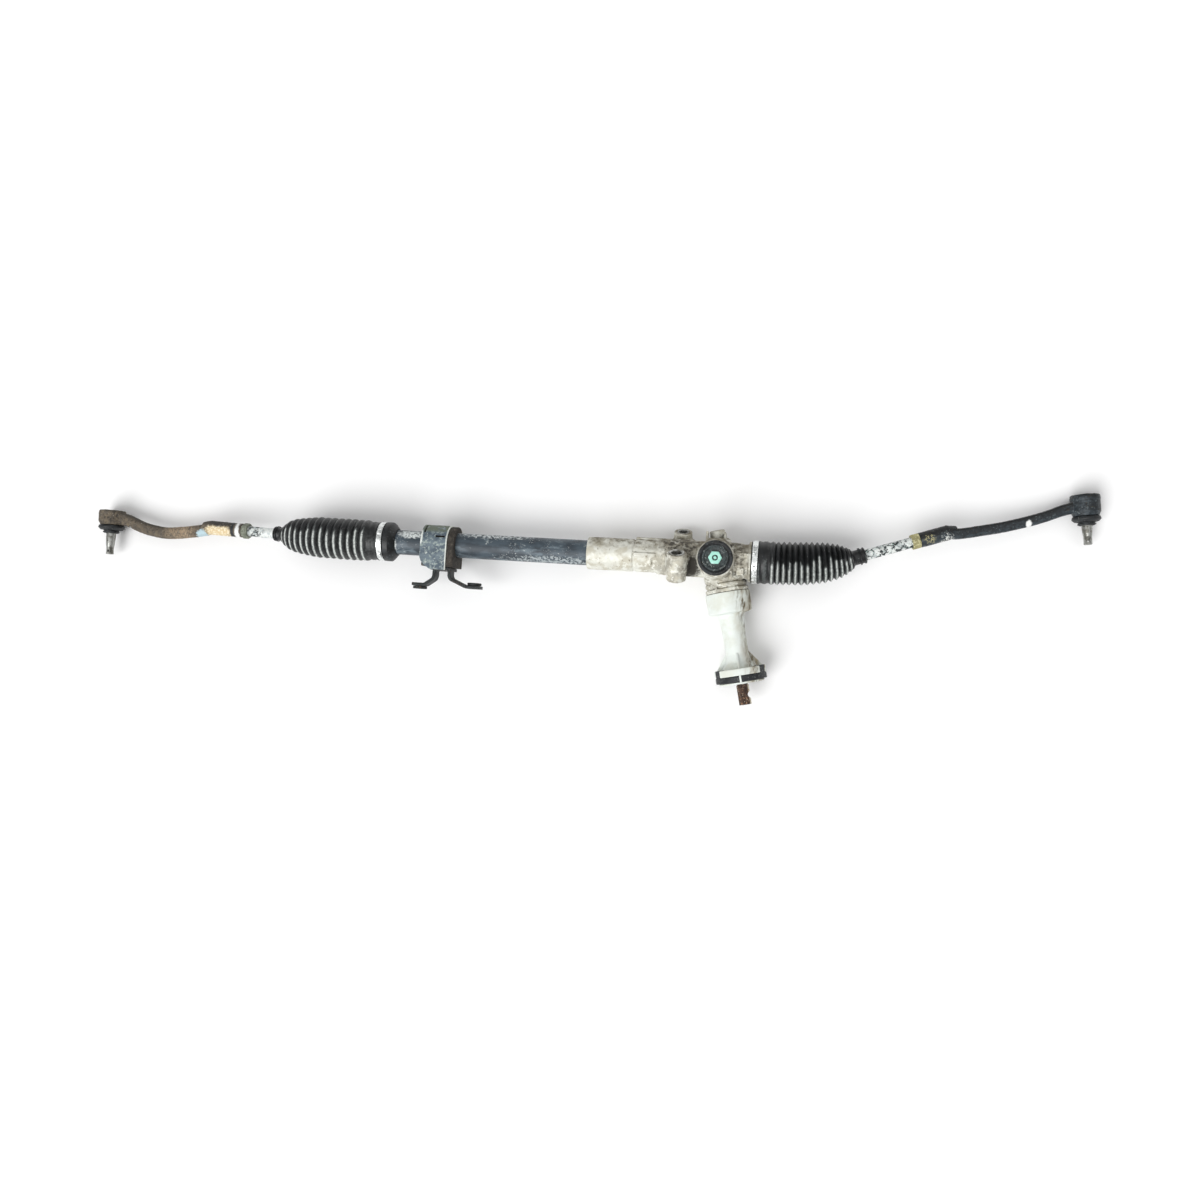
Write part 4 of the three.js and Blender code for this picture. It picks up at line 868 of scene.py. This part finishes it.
def gear_housing(material):
    casing = [(-153.8, 0), (-153.8, 19.4), (-99, 19.4), (-98.4, 18), (-96.6, 18), (-96, 19.1), (-70, 19.1),
              (-62, 21.5), (28, 21.5), (33, 20), (37.2, 20.4), (38, 23.8), (41, 23.8), (41, 22.2), (53,
                  22.2), (53, 0)]
    neck = [(-37, 0), (-37, 8.4), (-36, 9.2), (-27, 9.6), (-24, 14), (-2, 17), (6, 24.6), (24, 24.6),
            (24.6, 23.2),
            (26.4, 23.2), (27, 24.8), (30.4, 24.8), (31, 23.2), (32.8, 23.2), (33.4, 25.4), (37.8, 25.4),
            (37.8, 23.9), (48, 23.9), (48, 0)]
    lugs = [
        lathe_along_bolt(*FRONT_BOLT, 11.5, -13.5, 20.5),
        lathe_along_bolt(*REAR_BOLT, 11, -13.5, 20.5),
        flared(*REAR_BOLT, [(-12, 0), (-12, 15), (4, 15), (13, 11.2), (14, 0)]),
        (prism([(-66, 0), (-56, -33), (-33, -33), (-24, 0)], X, Y, -6, 19), LUG),
        (prism([(-62, 0), (-52.7, 33), (-33.7, 33), (-12, 0)], X, Y, -6, 19), LUG),
        (prism([(-64, 0), (-54, 30), (-32, 30), (-8, 0)], X, Y, 11.4, 2.4), LUG),
    ]
    ribs = [
        block((-97, -2.5, 16), (-71, 2.5, 20.3)),
        block((-76.6, -12, 13), (-75.2, 2, 20.1)),
        block((-97, 17.4, -2), (-30, 22.2, 2)),
        block((-62, -1.8, 12), (-16, 1.8, 22.6)),
        block((-3, -34, -6), (2.4, 24, 8)),
        block((-14, 20, -10), (-11.6, 33, 7)),
        block((7, 18, -12), (9.4, 33, 6)),
        block((-14, 23, 1), (9.4, 25.4, 6)),
        block((24.5, -17.5, 12), (33, -9, 20.6)),
        block((18, -20, 8), (20, 20, 20.6)),
        block((23, 6, 12), (38, 8.4, 20.8)),
        block((-70, -20.6, -8), (-22, -17.6, 4)),
    ]
    tower = lathe(soften([(0, 0), (0, 22), (30.7, 22), (32.2, 20.5), (32.2, 0)], 1.2), 96)
    flare = lathe(soften([(4, 0), (4, 26), (17, 22.6), (22, 22), (22, 0)], 2), 96)
    shell = build("gear_housing_body", [
        (lathe(soften(casing, 1.0), 96), GEAR), (lathe(soften(neck, 0.7), 96), PINION),
        (tower, YOKE), (flare, YOKE), *lugs, *[(rib, GEAR) for rib in ribs]])
    fuse(shell, 0.62, 5, 0.55, 3.2)
    stop = GEAR_MIDDLE + STOP_REACH
    bores = [
        (lathe([(-155, 0), (-155, 15.3), (-124, 15.3), (-124, 12.8), (stop, 12.8), (stop, 17.5), (54, 17.5),
                (54, 0)]), GEAR),
        (lathe([(-31, 0), (-31, 8.8), (-15.5, 8.8), (-15.5, 11), (17, 11), (17, 17.8), (29, 17.8),
                (29, 21.9),
                (49, 21.9), (49, 0)]), PINION),
        (lathe([(0, 0), (0, 14.3), (26.6, 14.3), (26.6, 15.8), (33, 15.8), (33, 0)]), YOKE),
        lathe_along_bolt(*FRONT_BOLT, 9.5, -15, 22, 0),
        lathe_along_bolt(*REAR_BOLT, 7.7, -15, 22, 0),
    ]
    for bore in bores:
        cut(shell, *bore)
    finished(shell, "housing", ["gear_housing"], material, 45)


def bolt_frame(x, y):
    return LUG @ Matrix.Translation((x, y, 0)) @ Matrix.Rotation(-pi / 2, 4, "Y")


def flared(x, y, profile):
    """A foot of a boss, widening towards its root."""
    return lathe(soften(profile, 2), 72), bolt_frame(x, y)


def lathe_along_bolt(x, y, radius, low, high, edge=0.9):
    """A boss or hole along the mounting bolts."""
    profile = [(low, 0), (low, radius), (high, radius), (high, 0)]
    return lathe(soften(profile, edge) if edge else profile, 72), bolt_frame(x, y)


def lug_sleeves(material):
    for name, bolt, outer, hole in [("front_lug", FRONT_BOLT, 9.2, 6.2), ("rear_lug", REAR_BOLT, 7.4, 5.2)]:
        corners = [(-14, hole + 0.8), (-14, outer), (21, outer), (21, hole + 0.8), (20.2, hole),
                   (-13.2, hole)]
        sleeve = build(name + "_bushing", [(hollow(corners, 0.4, 72), bolt_frame(*bolt))])
        finished(sleeve, "housing", [name + "_sleeve"], material)


def tube(material):
    end, seat = GEAR_MIDDLE - STOP_REACH + GAP, -124 - GAP

    def dented(x, r, angle):
        if r < 14:
            return x, r
        return x, r + 0.12 * noise.noise(Vector((x / 18, cos(angle) * 1.2, sin(angle) * 1.2)))

    corners = [(end, 13), (end, 15)] + [(x, 15) for x in np.linspace(end + 4, seat - 4, 90)] + [(seat, 15),
        (seat, 13)]
    made = build("tube", [(hollow(corners, 0.4, 96, 3, dented), GEAR)])
    finished(made, "housing", ["rack_tube"], material)


def tube_end(material):
    end, seat, cuff = GEAR_MIDDLE - 235, GEAR_MIDDLE - STOP_REACH + GAP, LEFT["seat"]
    corners = [(end, 17.5), (end, cuff), (-404.8, cuff), (-404.8, 24), (-398, 24), (-396, 22.4),
               (-391, 16.6),
               (-391, 15.3), (seat, 15.3), (seat, 17.5)]
    made = build("tube_end", [(hollow(corners, 0.9, 96, 4), GEAR)])
    finished(made, "housing", ["tube_end_collar"], material)


# ---- Bracket ----

def arch(radius, foot, steps=24):
    """Half a circle over +Y with straight legs, as (z, y)."""
    turns = [pi * k / steps for k in range(steps + 1)]
    return [(radius, foot)] + [(radius * cos(t), radius * sin(t)) for t in turns] + [(-radius, foot)]


def bracket_strap(material):
    outside, inside = arch(23.4, -31.5), arch(20.4, -31.5)[::-1]
    strap = build("strap", [(prism(outside + inside, Z, Y, 323.5, 33), GEAR)])
    corner = [(-357.5, -14), (-356, -18), (-354.5, -22), (-351, -26.5), (-346, -29.6), (-340.5, -33),
              (-357.5, -33)]
    cut(strap, prism(corner, X, Y, -30, 60), GEAR)
    slot = [(-338.5, 7.4), (-326.5, 7.4), (-326.5, 9.6), (-338.5, 9.6)]
    cut(strap, prism(slot, X, Y, 10, 20), GEAR)
    notch = [(-353.6, 12.5), (-351.4, 12.5), (-351.4, 30), (-353.6, 30)]
    cut(strap, prism(notch, X, Y, 6, 20), GEAR)
    fuse(strap, 0.42, 4, 0.16, 5)
    finished(strap, "housing", ["bracket_strap"], material)


def bracket_base(material):
    bends = [(-367.8, -50), (-352.5, -50), (-342, -42.5), (-340.9, -38), (-340.9, -30), (-322, -30),
             (-322, -38),
             (-320, -42), (-301, -50), (-283, -50)]
    line = soften(bends, 5, 6)
    bridge = block((-342.8, -31.9, -20.1), (-320.1, -28.1, 20.1))
    base = build("base", [(prism(plate(line, 3.8), X, Y, -9.2, 18.4), GEAR), (bridge, GEAR)])
    fuse(base, 0.5, 4, 0.14, 5)
    for x in FOOT_HOLES:
        place = GEAR @ sideways(x)
        cut(base, disc(-56, -44, 5.5, 0.1), place)
    finished(base, "housing", ["bracket_base"], material)
    for name, x, start in zip(("left_foot", "right_foot"), FOOT_HOLES, (-55.4, -47.8)):
        place = GEAR @ sideways(x)
        rim = build(name + "_rim", [(ring(start, start + 3.2, 5.5, 8.6, 0.6), place)])
        finished(rim, "housing", [name + "_collar"], material)


def bracket_bush(material):
    section = prism(arch(20.1, -27.8), Z, Y, 322.5, 32)
    lip = prism(arch(22.4, -27.8), Z, Y, 315, 8.2)
    bush = build("bush", [(section, GEAR), (lip, GEAR)])
    fuse(bush, 0.55, 6, 0.4, 4)
    cut(bush, disc(-357, -314, 15.3, 0), GEAR)
    finished(bush, "housing", ["bracket_bush"], material, 50)


# ---- Yoke's plug and nut ----

def hexagon(across, turn=0):
    corner = across / sqrt(3)
    angles = [radians(60 * k + turn) for k in range(6)]
    return [(corner * cos(a), corner * sin(a)) for a in angles]


def yoke_parts(nut_material, face_material, green_material):
    nut = build("lock_nut", [(lathe(soften(
        [(32.5, 15.8), (32.5, 20.5), (36.6, 20.5), (37.6, 19.5), (37.6, 17.4), (36.9, 16.4), (36.9, 15.8)],
        0.35, 3, True), 120, True), YOKE)])
    for k in range(6):
        turn = YOKE @ about_x(60 * k + 15)
        cut(nut, block((34, 18.4, -2), (39, 23, 2)), turn)
    bevel(nut, 0.3, 2)
    finished(nut, "housing", ["yoke_lock_nut"], nut_material)

    rim = build("plug_rim", [(lathe(soften(
        [(27, 0), (27, 15.5), (37.8, 15.5), (38.4, 14.8), (38.4, 13), (37.2, 12.2), (36.7, 9.6), (36.7, 0)],
        0.4), 120), YOKE)])
    finished(rim, "housing", ["yoke_plug"], face_material)

    head = build("plug_hexagon", [(prism(hexagon(13.9), Y, Z, 34.4, 5.2), YOKE)])
    chamfer = lathe([(33, 0), (33, 8.4), (38.9, 8.4), (39.8, 7), (39.8, 0)], 96)
    boolean(head, "INTERSECT", build("chamfer", [(chamfer, YOKE)]))
    cut(head, ring(36.2, 41, 1.7, 3.5, 0), YOKE)
    bevel(head, 0.25, 2)
    finished(head, "housing", ["yoke_plug"], green_material)


# ---- Cover over the neck ----

def lifted(side):
    return PINION @ about_x(-30 * side)


def ear(side, grow):
    near, far = 23.2 - grow, 30.5 + grow
    return block((128.5 - grow, -5 - grow, min(side * near, side * far)),
                 (138.4, 5 + grow, max(side * near, side * far)))


def ear_hole(side, shrink, half):
    near, far = 25.4 + shrink, 28.6 - shrink
    return block((131.1 + shrink, -half, min(side * near, side * far)),
                 (135.2 - shrink, half, max(side * near, side * far)))


def pinion_cover(plastic, rubber):
    outside = [(38.1, 0), (38.1, 26.4), (42, 26.6), (61.5, 26), (63, 24.4), (64, 17), (68, 15.4),
               (89, 13.4),
               (112, 13.6), (121.5, 16), (128.9, 21.5), (128.9, 30.8), (137.1, 30.8), (137.1, 24), (144.7,
                   24),
               (144.7, 27.2), (147.2, 26.2), (147.2, 0)]
    fin = [(111, 10), (111, 14.2), (128.9, 27.5), (130, 27.5), (130, 10)]
    shapes = [(lathe(soften(outside, 0.7), 128), PINION)]
    for turn in (0, 90, 180, 270):
        shapes.append((prism(fin, X, Y, -1.2, 2.4), PINION @ about_x(turn)))
    cover = build("cover", shapes)
    fuse(cover, 0.5, 4)
    for side in (-1, 1):
        cut(cover, ear(side, GAP), lifted(side))
    inside = [(37, 0), (37, 24.5), (56, 24.5), (61, 14), (70, 10.5), (149, 10.5), (149, 0)]
    cut(cover, lathe(inside, 96), PINION)
    groove = [(137.1, 19), (144.7, 19), (144.7, 32), (137.1, 32)]
    cut(cover, lathe(groove, 128, True), PINION)
    finished(cover, "housing", ["pinion_cover"], plastic)

    rib = build("cover_rib", [(block((136.4, 30.1, -1.1), (145.2, 31.2, 1.1)), PINION)])
    bevel(rib, 0.3, 2)
    finished(rib, "housing", ["pinion_cover"], plastic)

    gasket = build("gasket", [(ring(137.4, 144.4, 19.3, 30.3, 0.9, 128), PINION)])
    for side in (-1, 1):
        boolean(gasket, "UNION", build("ear", [(ear(side, 0), lifted(side))]))
        cut(gasket, ear_hole(side, 0, 6), lifted(side))
    fuse(gasket, 0.34, 3, 0.12, 3)
    finished(gasket, "housing", ["cover_gasket"], rubber)

    for name, side in [("left_cover_clip", 1), ("right_cover_clip", -1)]:
        clip = build(name + "_tab", [(ear_hole(side, GAP, 4.8), lifted(side))])
        bevel(clip, 0.4, 3)
        finished(clip, "housing", [name], plastic)


# ---- Boots ----

def boot_line(side):
    """The bent middle line of a boot, from its casing's axis to its rod's."""
    start, end = CUFF_END, side["tip"][0]
    reach = end - start
    straight, swung = rack_end(side), rod_frame(side)
    ends = [straight @ Vector((start, 0, 0)), straight @ Vector((start + reach / 3, 0, 0)),
            swung @ Vector((end - reach / 4, 0, 0)), swung @ Vector((end, 0, 0))]

    def at(share):
        a, b, c, d = ends
        s, t = 1 - share, share
        point = a * s ** 3 + b * 3 * s * s * t + c * 3 * s * t * t + d * t ** 3
        heading = (b - a) * s * s + (c - b) * 2 * s * t + (d - c) * t * t
        return point, heading.normalized()

    return start, end, straight, swung, at


def bent(side, points):
    """Carries points drawn along a rack's end onto the boot's bent line."""
    start, end, straight, swung, at = boot_line(side)
    outward = X * side["direction"]
    result = []
    for x, y, z in points:
        if x <= start:
            result.append(straight @ Vector((x, y, z)))
        elif x >= end:
            result.append(swung @ Vector((x, y, z)))
        else:
            point, heading = at((x - start) / (end - start))
            across = Vector((0, y, side["direction"] * z)) * MM
            across.rotate(outward.rotation_difference(heading))
            result.append(point + across)
    return result


def boot_profile(side):
    """Outer points as (along, radius, crest), where crest is 1 on a fold's ridge."""
    seat = side["seat"] + GAP
    cuff = seat + 1.9
    tip_start, tip_end, tip_radius = side["tip"]
    xs, rs = zip(*side["boot"])
    first, last = CUFF_END - 1, xs[-1] - 0.5
    pitch = (last - first) / side["folds"]
    smooth = lambda x: float(np.mean([np.interp(x + d, xs, rs) for d in np.linspace(-4, 4, 9)]))
    points = [(CUFF_START, seat + 0.3, 0), (CUFF_START, cuff + 0.5, 0), (CUFF_START + 0.4, cuff + 0.9, 0.2),
              (CUFF_START + 1.1, cuff + 0.9, 0.2), (CUFF_START + 1.5, cuff + 0.2, 0), (BAND + 3.4, cuff, 0),
              (BAND + 3.8, cuff + 0.7, 0.4), (BAND + 5, cuff + 0.9, 0.6), (BAND + 6.4, cuff + 0.2, 0),
              (BAND + 8.5, cuff - 0.1, 0), (BAND + 10.5, cuff + 0.6, 0.5), (BAND + 13, cuff + 0.8, 0.5),
              (CUFF_END - 3, cuff - 0.1, 0)]
    steps = 14
    for k in range(side["folds"]):
        for i in range(steps):
            u = i / steps
            x = first + (k + u) * pitch
            hill = 1 - abs(2 * u - 1)
            crest = sin(pi / 2 * hill) ** side["crest"] if side["crest"] < 1 else hill ** 0.9
            fade = min(1.0, (k + 1.6) / 3, (side["folds"] - k + 0.6) / 3)
            radius = smooth(x) - side["fold_depth"] * fade * (1 - crest)
            points.append((x, radius, crest))
    points += [(last + 0.6, smooth(last) - side["fold_depth"] * 0.3, 0),
               (tip_start - 0.6, tip_radius + 0.6, 0),
               (tip_start + 1, tip_radius, 0), (tip_start + 2.4, tip_radius, 0), (tip_end - 2, tip_radius,
                   0),
               (tip_end - 1.6, tip_radius + 0.9, 0.5), (tip_end - 0.4, tip_radius + 0.9, 0.5),
               (tip_end, tip_radius + 0.3, 0), (tip_end, ROD_RADIUS + GAP + 0.1, 0)]
    return points


def boot(side, material):
    outer = boot_profile(side)
    tip_start = side["tip"][0]
    wall = 1.15
    inner = []
    for x, r, _ in outer[:0:-1]:
        if x >= tip_start - 1:
            continue
        low = side["seat"] + GAP if x < CUFF_END - 2 else ROD_RADIUS + GAP
        inner.append((x, max(r - wall, low) if x >= CUFF_END - 2 else low, 0))
    profile = outer + [(tip_start - 0.5, ROD_RADIUS + GAP, 0)] + inner
    segments, points, faces, dust, pull = 128, [], [], [], []
    sign, is_left = side["direction"], side["direction"] < 0
    count_outer = len(outer)
    for row, (x, r, crest) in enumerate(profile):
        fold = (x + 60) // 6
        for k in range(segments):
            angle = 2 * pi * k / segments
            wave = noise.noise(Vector((x / 9, 1.7 * cos(angle), 1.7 * sin(angle))))
            grown = r + (0.3 * wave if CUFF_END < x < tip_start else 0)
            points.append((x, grown * cos(angle), grown * sin(angle)))
            north, up = cos(angle), sign * sin(angle)
            patchy = noise.noise(Vector((fold * 1.7, north * 2.2, up * 2.2 + 5)))
            if row >= count_outer:
                level = 0.0
            elif is_left:
                cover = min(1, max(0, (0.62 - north + 0.35 * patchy) / 0.45)) * min(1, max(0, up + 0.75))
                level = cover * (0.26 + 0.95 * crest ** 9)
            else:
                cover = min(1, max(0, (0.16 - north + 0.55 * patchy) / 0.3)) * min(1, max(0, up + 0.75))
                level = cover * (0.10 + 1.05 * crest ** 1.6) + 0.16 * crest ** 8
            dust.append(level)
            pull.append(min(1.0, max(0.0, (x - CUFF_END) / (tip_start - CUFF_END))))
    rows = len(profile)
    for a in range(rows):
        b = (a + 1) % rows
        for k in range(segments):
            j = (k + 1) % segments
            faces.append([a * segments + k, a * segments + j, b * segments + j, b * segments + k])
    name = side["name"]
    made = build(name + "_bellows", [(([tuple(p) for p in bent(side, points)], faces), Matrix.Identity(4))])
    level = made.data.attributes.new("dust", "FLOAT", "POINT")
    level.data.foreach_set("value", dust)
    finished(made, "housing", [name + "_boot"], material, 60)
    follow(made, BODIES[name + "_rod_sleeve"], pull)


def follow(thing, body, shares):
    """Makes part of a soft piece follow another body, by a share from 0 to 1 at each vertex."""
    group = thing.vertex_groups.new(name="pull")
    levels = np.round(np.array(shares), 3)
    for level in np.unique(levels):
        if level > 0:
            group.add([int(i) for i in np.nonzero(levels == level)[0]], float(level), "REPLACE")
    bpy.context.view_layer.update()
    hook = thing.modifiers.new("follow", "HOOK")
    hook.object = body
    hook.vertex_group = group.name
    hook.falloff_type = "NONE"
    hook.strength = 1
    hook.matrix_inverse = body.matrix_world.inverted() @ thing.matrix_world


def boot_clamps(side, band_material, clip_material):
    name, place = side["name"], rack_end(side)
    inner = side["seat"] + 2.2 + GAP
    band = lathe(soften([(BAND - 3.2, inner), (BAND - 3.2, inner + 0.9), (BAND + 3.2, inner + 0.9),
                         (BAND + 3.2, inner)],
                        0.35, 3, True), 160, True)
    turn = place @ about_x(side["direction"] * 140)
    lap = place @ about_x(side["direction"] * 64)
    clamp = build(name + "_band", [(band, place), (block((BAND - 2.6, inner + 0.5, -3),
        (BAND + 2.6, inner + 2.6, 3)), turn),
                                   (block((BAND - 2.2, inner + 0.4, -3.4), (BAND + 2.2, inner + 1.5, 3.4)),
                                    lap)])
    fuse(clamp, 0.3, 2)
    for at in (-1.8, 1.8):
        pit = lap @ Matrix.Translation((BAND, inner + 0.9, at)) @ Matrix.Rotation(pi / 2, 4, "Z")
        cut(clamp, disc(0, 3, 0.8, 0, 20), pit)
    finished(clamp, "housing", [name + "_boot_clamp"], band_material)

    tip_start, tip_end, tip_radius = side["tip"]
    middle = (tip_start + tip_end) / 2 + 1
    rows, turns, wire = 96, 1.25, 0.55
    line = []
    for k in range(rows + 1):
        angle = 2 * pi * turns * k / rows
        along = middle + (k / rows - 0.5) * 1.6
        reach = tip_radius + GAP + wire + 0.05
        at = Vector((along, reach * cos(angle), reach * sin(angle)))
        line.append((at, Vector((0, -sin(angle), cos(angle))), k / rows))
    clip = build(name + "_wire_clip", [(swept(line, X, lambda s, a: (wire * cos(a), wire * sin(a)), 12),
                                        rod_frame(side))])
    finished(clip, name + "_rod_sleeve", [name + "_boot_clip"], clip_material)


# ---- Tie rods ----

def threaded(start, end, pitch, depth):
    """Cuts a helical thread into a lathe between two places along it."""
    def shape(x, r, angle):
        if x < start or x > end or r < 3:
            return x, r
        phase = (x / pitch + angle / (2 * pi)) % 1
        fade = min(1, (x - start) / pitch, (end - x) / pitch)
        return x, r - depth * fade * abs(2 * phase - 1)
    return shape


def fine(start, end, radius, step):
    count = max(2, int(round((end - start) / step)))
    return [(start + (end - start) * k / count, radius) for k in range(count + 1)]


def circle(radius, start, end, steps):
    turns = [radians(start + (end - start) * k / steps) for k in range(steps + 1)]
    return [(radius * cos(t), max(0.0, radius * sin(t))) for t in turns]


def inner_rod(side, material):
    ball, neck = 11, 5.6
    end = side["nut"][1] + 22
    thread = side["nut"][0] - 14
    profile = circle(ball, 180, degrees(asin(neck / ball)), 24) + [(13, neck), (16, neck), (20, 6.2),
        (22, 6.4)]
    profile += [(x, 6.4) for x in range(26, int(thread) - 1, 3)] + fine(thread, end - 1, 6.4,
        0.25) + [(end, 5.4), (end, 0)]
    thread_cut = threaded(thread, end - 1, 1.5, 0.55)

    def worn(x, r, angle):
        x, r = thread_cut(x, r, angle)
        if 24 < x < thread:
            r += 0.12 * noise.noise(Vector((x / 4, 2 * cos(angle), 2 * sin(angle))))
        return x, r

    name = side["name"]
    made = build(name + "_rod", [(lathe(profile, 64, False, worn), rod_frame(side))])
    finished(made, name + "_tie_rod", [name + "_inner_rod"], material, 50)


def jam_nut(side, material):
    start, end = side["nut"]
    name, place = side["name"], rod_frame(side)
    turn = place @ about_x(side["nut_turn"])
    nut = build(name + "_nut", [(prism(hexagon(17), Y, Z, start, end - start), turn)])
    chamfer = lathe([(start - 1, 0), (start - 1, 8.2), (start, 8.3), (start + 0.9, 9.9), (end - 0.9, 9.9),
                     (end, 8.3),
                     (end + 1, 8.2), (end + 1, 0)], 96)
    boolean(nut, "INTERSECT", build("chamfer", [(chamfer, place)]))
    bore = lathe([(start - 1, 0), (start - 1, 7.6), (start + 1, 6.5), (end - 1, 6.5), (end + 1, 7.6),
                  (end + 1, 0)], 64)
    cut(nut, bore, place)
    bevel(nut, 0.25, 2)
    finished(nut, name + "_tie_rod", [name + "_jam_nut"], material)


def outer_end(side, material):
    name, place, joint = side["name"], rod_frame(side), outer_frame(side)
    mouth, stop, radius = side["nut"][1] + GAP, side["socket_end"], side["arm_radius"]
    socket = lathe(soften([(mouth, 0), (mouth, 8.2), (mouth + 1, 8.8), (stop - 7, 8.9), (stop, radius),
                           (stop + 4, radius - 1),
                           (stop + 4, 0)], 1.2), 72)
    power = 2 / side["square"]

    def section(share, angle):
        c, s = cos(angle), sin(angle)
        swell = radius * (1 + 0.10 * max(0, share - 0.75) * 4)
        a = copysign(abs(c) ** power, c) * swell * 0.98
        b = copysign(abs(s) ** power, s) * swell * 0.93
        return a, b

    line = [(Vector((x, y, 0)), h, s) for (x, y, _), h, s in smooth_line(side["arm"], 10)]
    arm = swept(line, Z, section, 56)
    cap = -side["cap"]
    head = lathe(soften([(cap, 0), (cap, 15.6), (cap + 1.2, 16.6), (2.5, 16.6), (5.5, 14.9), (7.5, 14.4),
                         (7.5, 0)], 1.6), 96)
    band = lathe(soften([(cap + 2.8, 0), (cap + 2.8, 16.7), (cap + 3.4, 16.9), (cap + 5.6, 16.9),
                         (cap + 6.2, 16.6),
                         (cap + 6.2, 0)], 0.5), 96)
    shapes = [(socket, place), (arm, place), (head, joint), (band, joint)]
    body = build(name + "_outer_joint", shapes)
    fuse(body, 0.5, 7, 0.7, 3.4)
    cavity = [(cap - 1, 0), (cap - 1, 14.2), (cap + 3.1, 14.2), (cap + 3.1, 12.8), (-0.5, 12.8)]
    cavity += circle(11, 92, 52, 10) + [(8.5, 10.7), (8.5, 0)]
    cut(body, lathe(cavity, 72), joint)
    cut(body, disc(mouth - 1, side["nut"][1] + 24, 6.7, 0, 48), place)
    finished(body, name + "_tie_rod", [name + "_outer_end"],
             material, 50)

    dish = [(cap + 2.8, 0), (cap + 2.8, 13.9), (cap + 0.9, 13.9), (cap + 0.5, 12.6), (cap + 0.5, 9),
            (cap + 1.3, 7.6), (cap + 1.3, 0)]
    lid = build(name + "_end_lid", [(lathe(soften(dish, 0.5), 96), joint)])
    finished(lid, name + "_tie_rod", [name + "_end_cap"],
             material)


def ball_stud(side, material):
    ball, neck, length = 8.5, 5.3, side["stud"]
    profile = circle(ball, 180, degrees(asin(neck / ball)), 24) + [(9, neck), (12, neck), (16.5, 6.3)]
    profile += [(length - 12, 5.2)] + fine(length - 10.5, length - 0.9, 4.95, 0.2) + [(length, 4),
        (length, 0)]
    name, place = side["name"], outer_frame(side)
    stud = build(name + "_stud_pin", [(lathe(profile, 64, False,
                                             threaded(length - 10.4, length - 1, 1.25, 0.5)), place)])
    hole = place @ sideways(length - 4)
    cut(stud, disc(-8, 8, 1.5, 0, 24), hole)
    finished(stud, name + "_stud", [name + "_ball_stud"], material, 50)


def dust_boot(side, rubber, steel):
    name, place = side["name"], outer_frame(side)
    outer = [(7.9, 15.2), (8.6, 15.7), (9.6, 15.9), (10.4, 16.3), (11.2, 16.2), (12.2, 15.2), (13, 14.4),
             (13.6, 13.8),
             (14, 12.6), (14.1, 11.2), (14.4, 9.9), (15, 9.4), (15.7, 9.3), (17.5, 9.3), (18, 8.9), (18,
                 7.6)]
    inner = [(17, 7.6), (15.4, 7.9), (13.6, 8.6), (12.9, 10.6), (12.3, 12.4), (11, 14), (9.6, 14.1),
             (7.9, 12.4)]
    made = build(name + "_dust_cover", [(lathe(outer + inner, 96, True), place)])
    shares = []
    back = place.inverted()
    for vertex in made.data.vertices:
        x = (back @ vertex.co).x
        shares.append(min(1.0, max(0.0, (x - 9) / 5.5)))
    finished(made, name + "_tie_rod", [name + "_dust_boot"], rubber, 60)
    follow(made, BODIES[name + "_stud_ring"], shares)
    hoop = build(name + "_dust_hoop", [(lathe(soften([(15.9, 9.5), (15.9, 10.3), (17.3, 10.3), (17.3, 9.5)],
        0.3, 4, True), 96, True), place)])
    finished(hoop, name + "_stud_ring", [name + "_dust_boot_ring"], steel)


# ---- The gear ----

def dress(material, *names):
    """Gives CAD pieces that keep their shape a finish."""
    for name in names:
        thing = NODES[name]
        for slot in thing.material_slots:
            slot.material = material


def build_gear():
    steel, bright, rubber = hardened_steel(), plain("bright_steel"), plain("black_rubber")
    black, plastic = plain("black_paint"), white_plastic()
    gear_housing(cast_aluminium())
    lug_sleeves(bright)
    tube(tube_paint())
    tube_end(black)
    bracket_strap(bracket_paint())
    bracket_base(plain("bracket_steel"))
    bracket_bush(plain("bush_rubber"))
    yoke_parts(black, plain("plug_face"), green_plastic())
    pinion_cover(plastic, rubber)
    boots, bands = boot_rubber(), plain("clamp_steel")
    finishes = {
        "left": (left_rod_paint(), nut_steel("left_nut_steel", 0x6f7466, 0x8b8f82), rusty_steel()),
        "right": (right_rod_paint(), nut_steel("right_nut_steel", 0x9a946c, 0xc9c59a), dark_steel()),
    }
    for side in (LEFT, RIGHT):
        rod, nut, forged = finishes[side["name"]]
        boot(side, boots)
        boot_clamps(side, bands, black)
        inner_rod(side, rod)
        jam_nut(side, nut)
        outer_end(side, forged)
        ball_stud(side, bright)
        dust_boot(side, rubber, black)
    dress(steel, "rack_bar", "left_inner_socket", "right_inner_socket", "lower_pinion_bearing",
          "upper_pinion_bearing",
          "yoke_spring")
    dress(bright, "left_lock_washer", "right_lock_washer", "pinion_retaining_plug")
    dress(machined_aluminium(), "rack_yoke")
    dress(rubber, "pinion_seal", "yoke_o_ring")
    dress(plain("acetal"), "rack_bush", "yoke_liner", "left_inner_seat", "right_inner_seat",
          "left_outer_seat", "right_outer_seat")
    dress(input_steel(), "pinion_shaft")


add_camera()
add_world()
add_floor()
add_light("key", (0.45, 0.62, -1.0), 2.3, 42)
add_light("top", (-0.3, -0.2, -1.0), 0.55, 70)
build_gear()
bpy.context.view_layer.update()
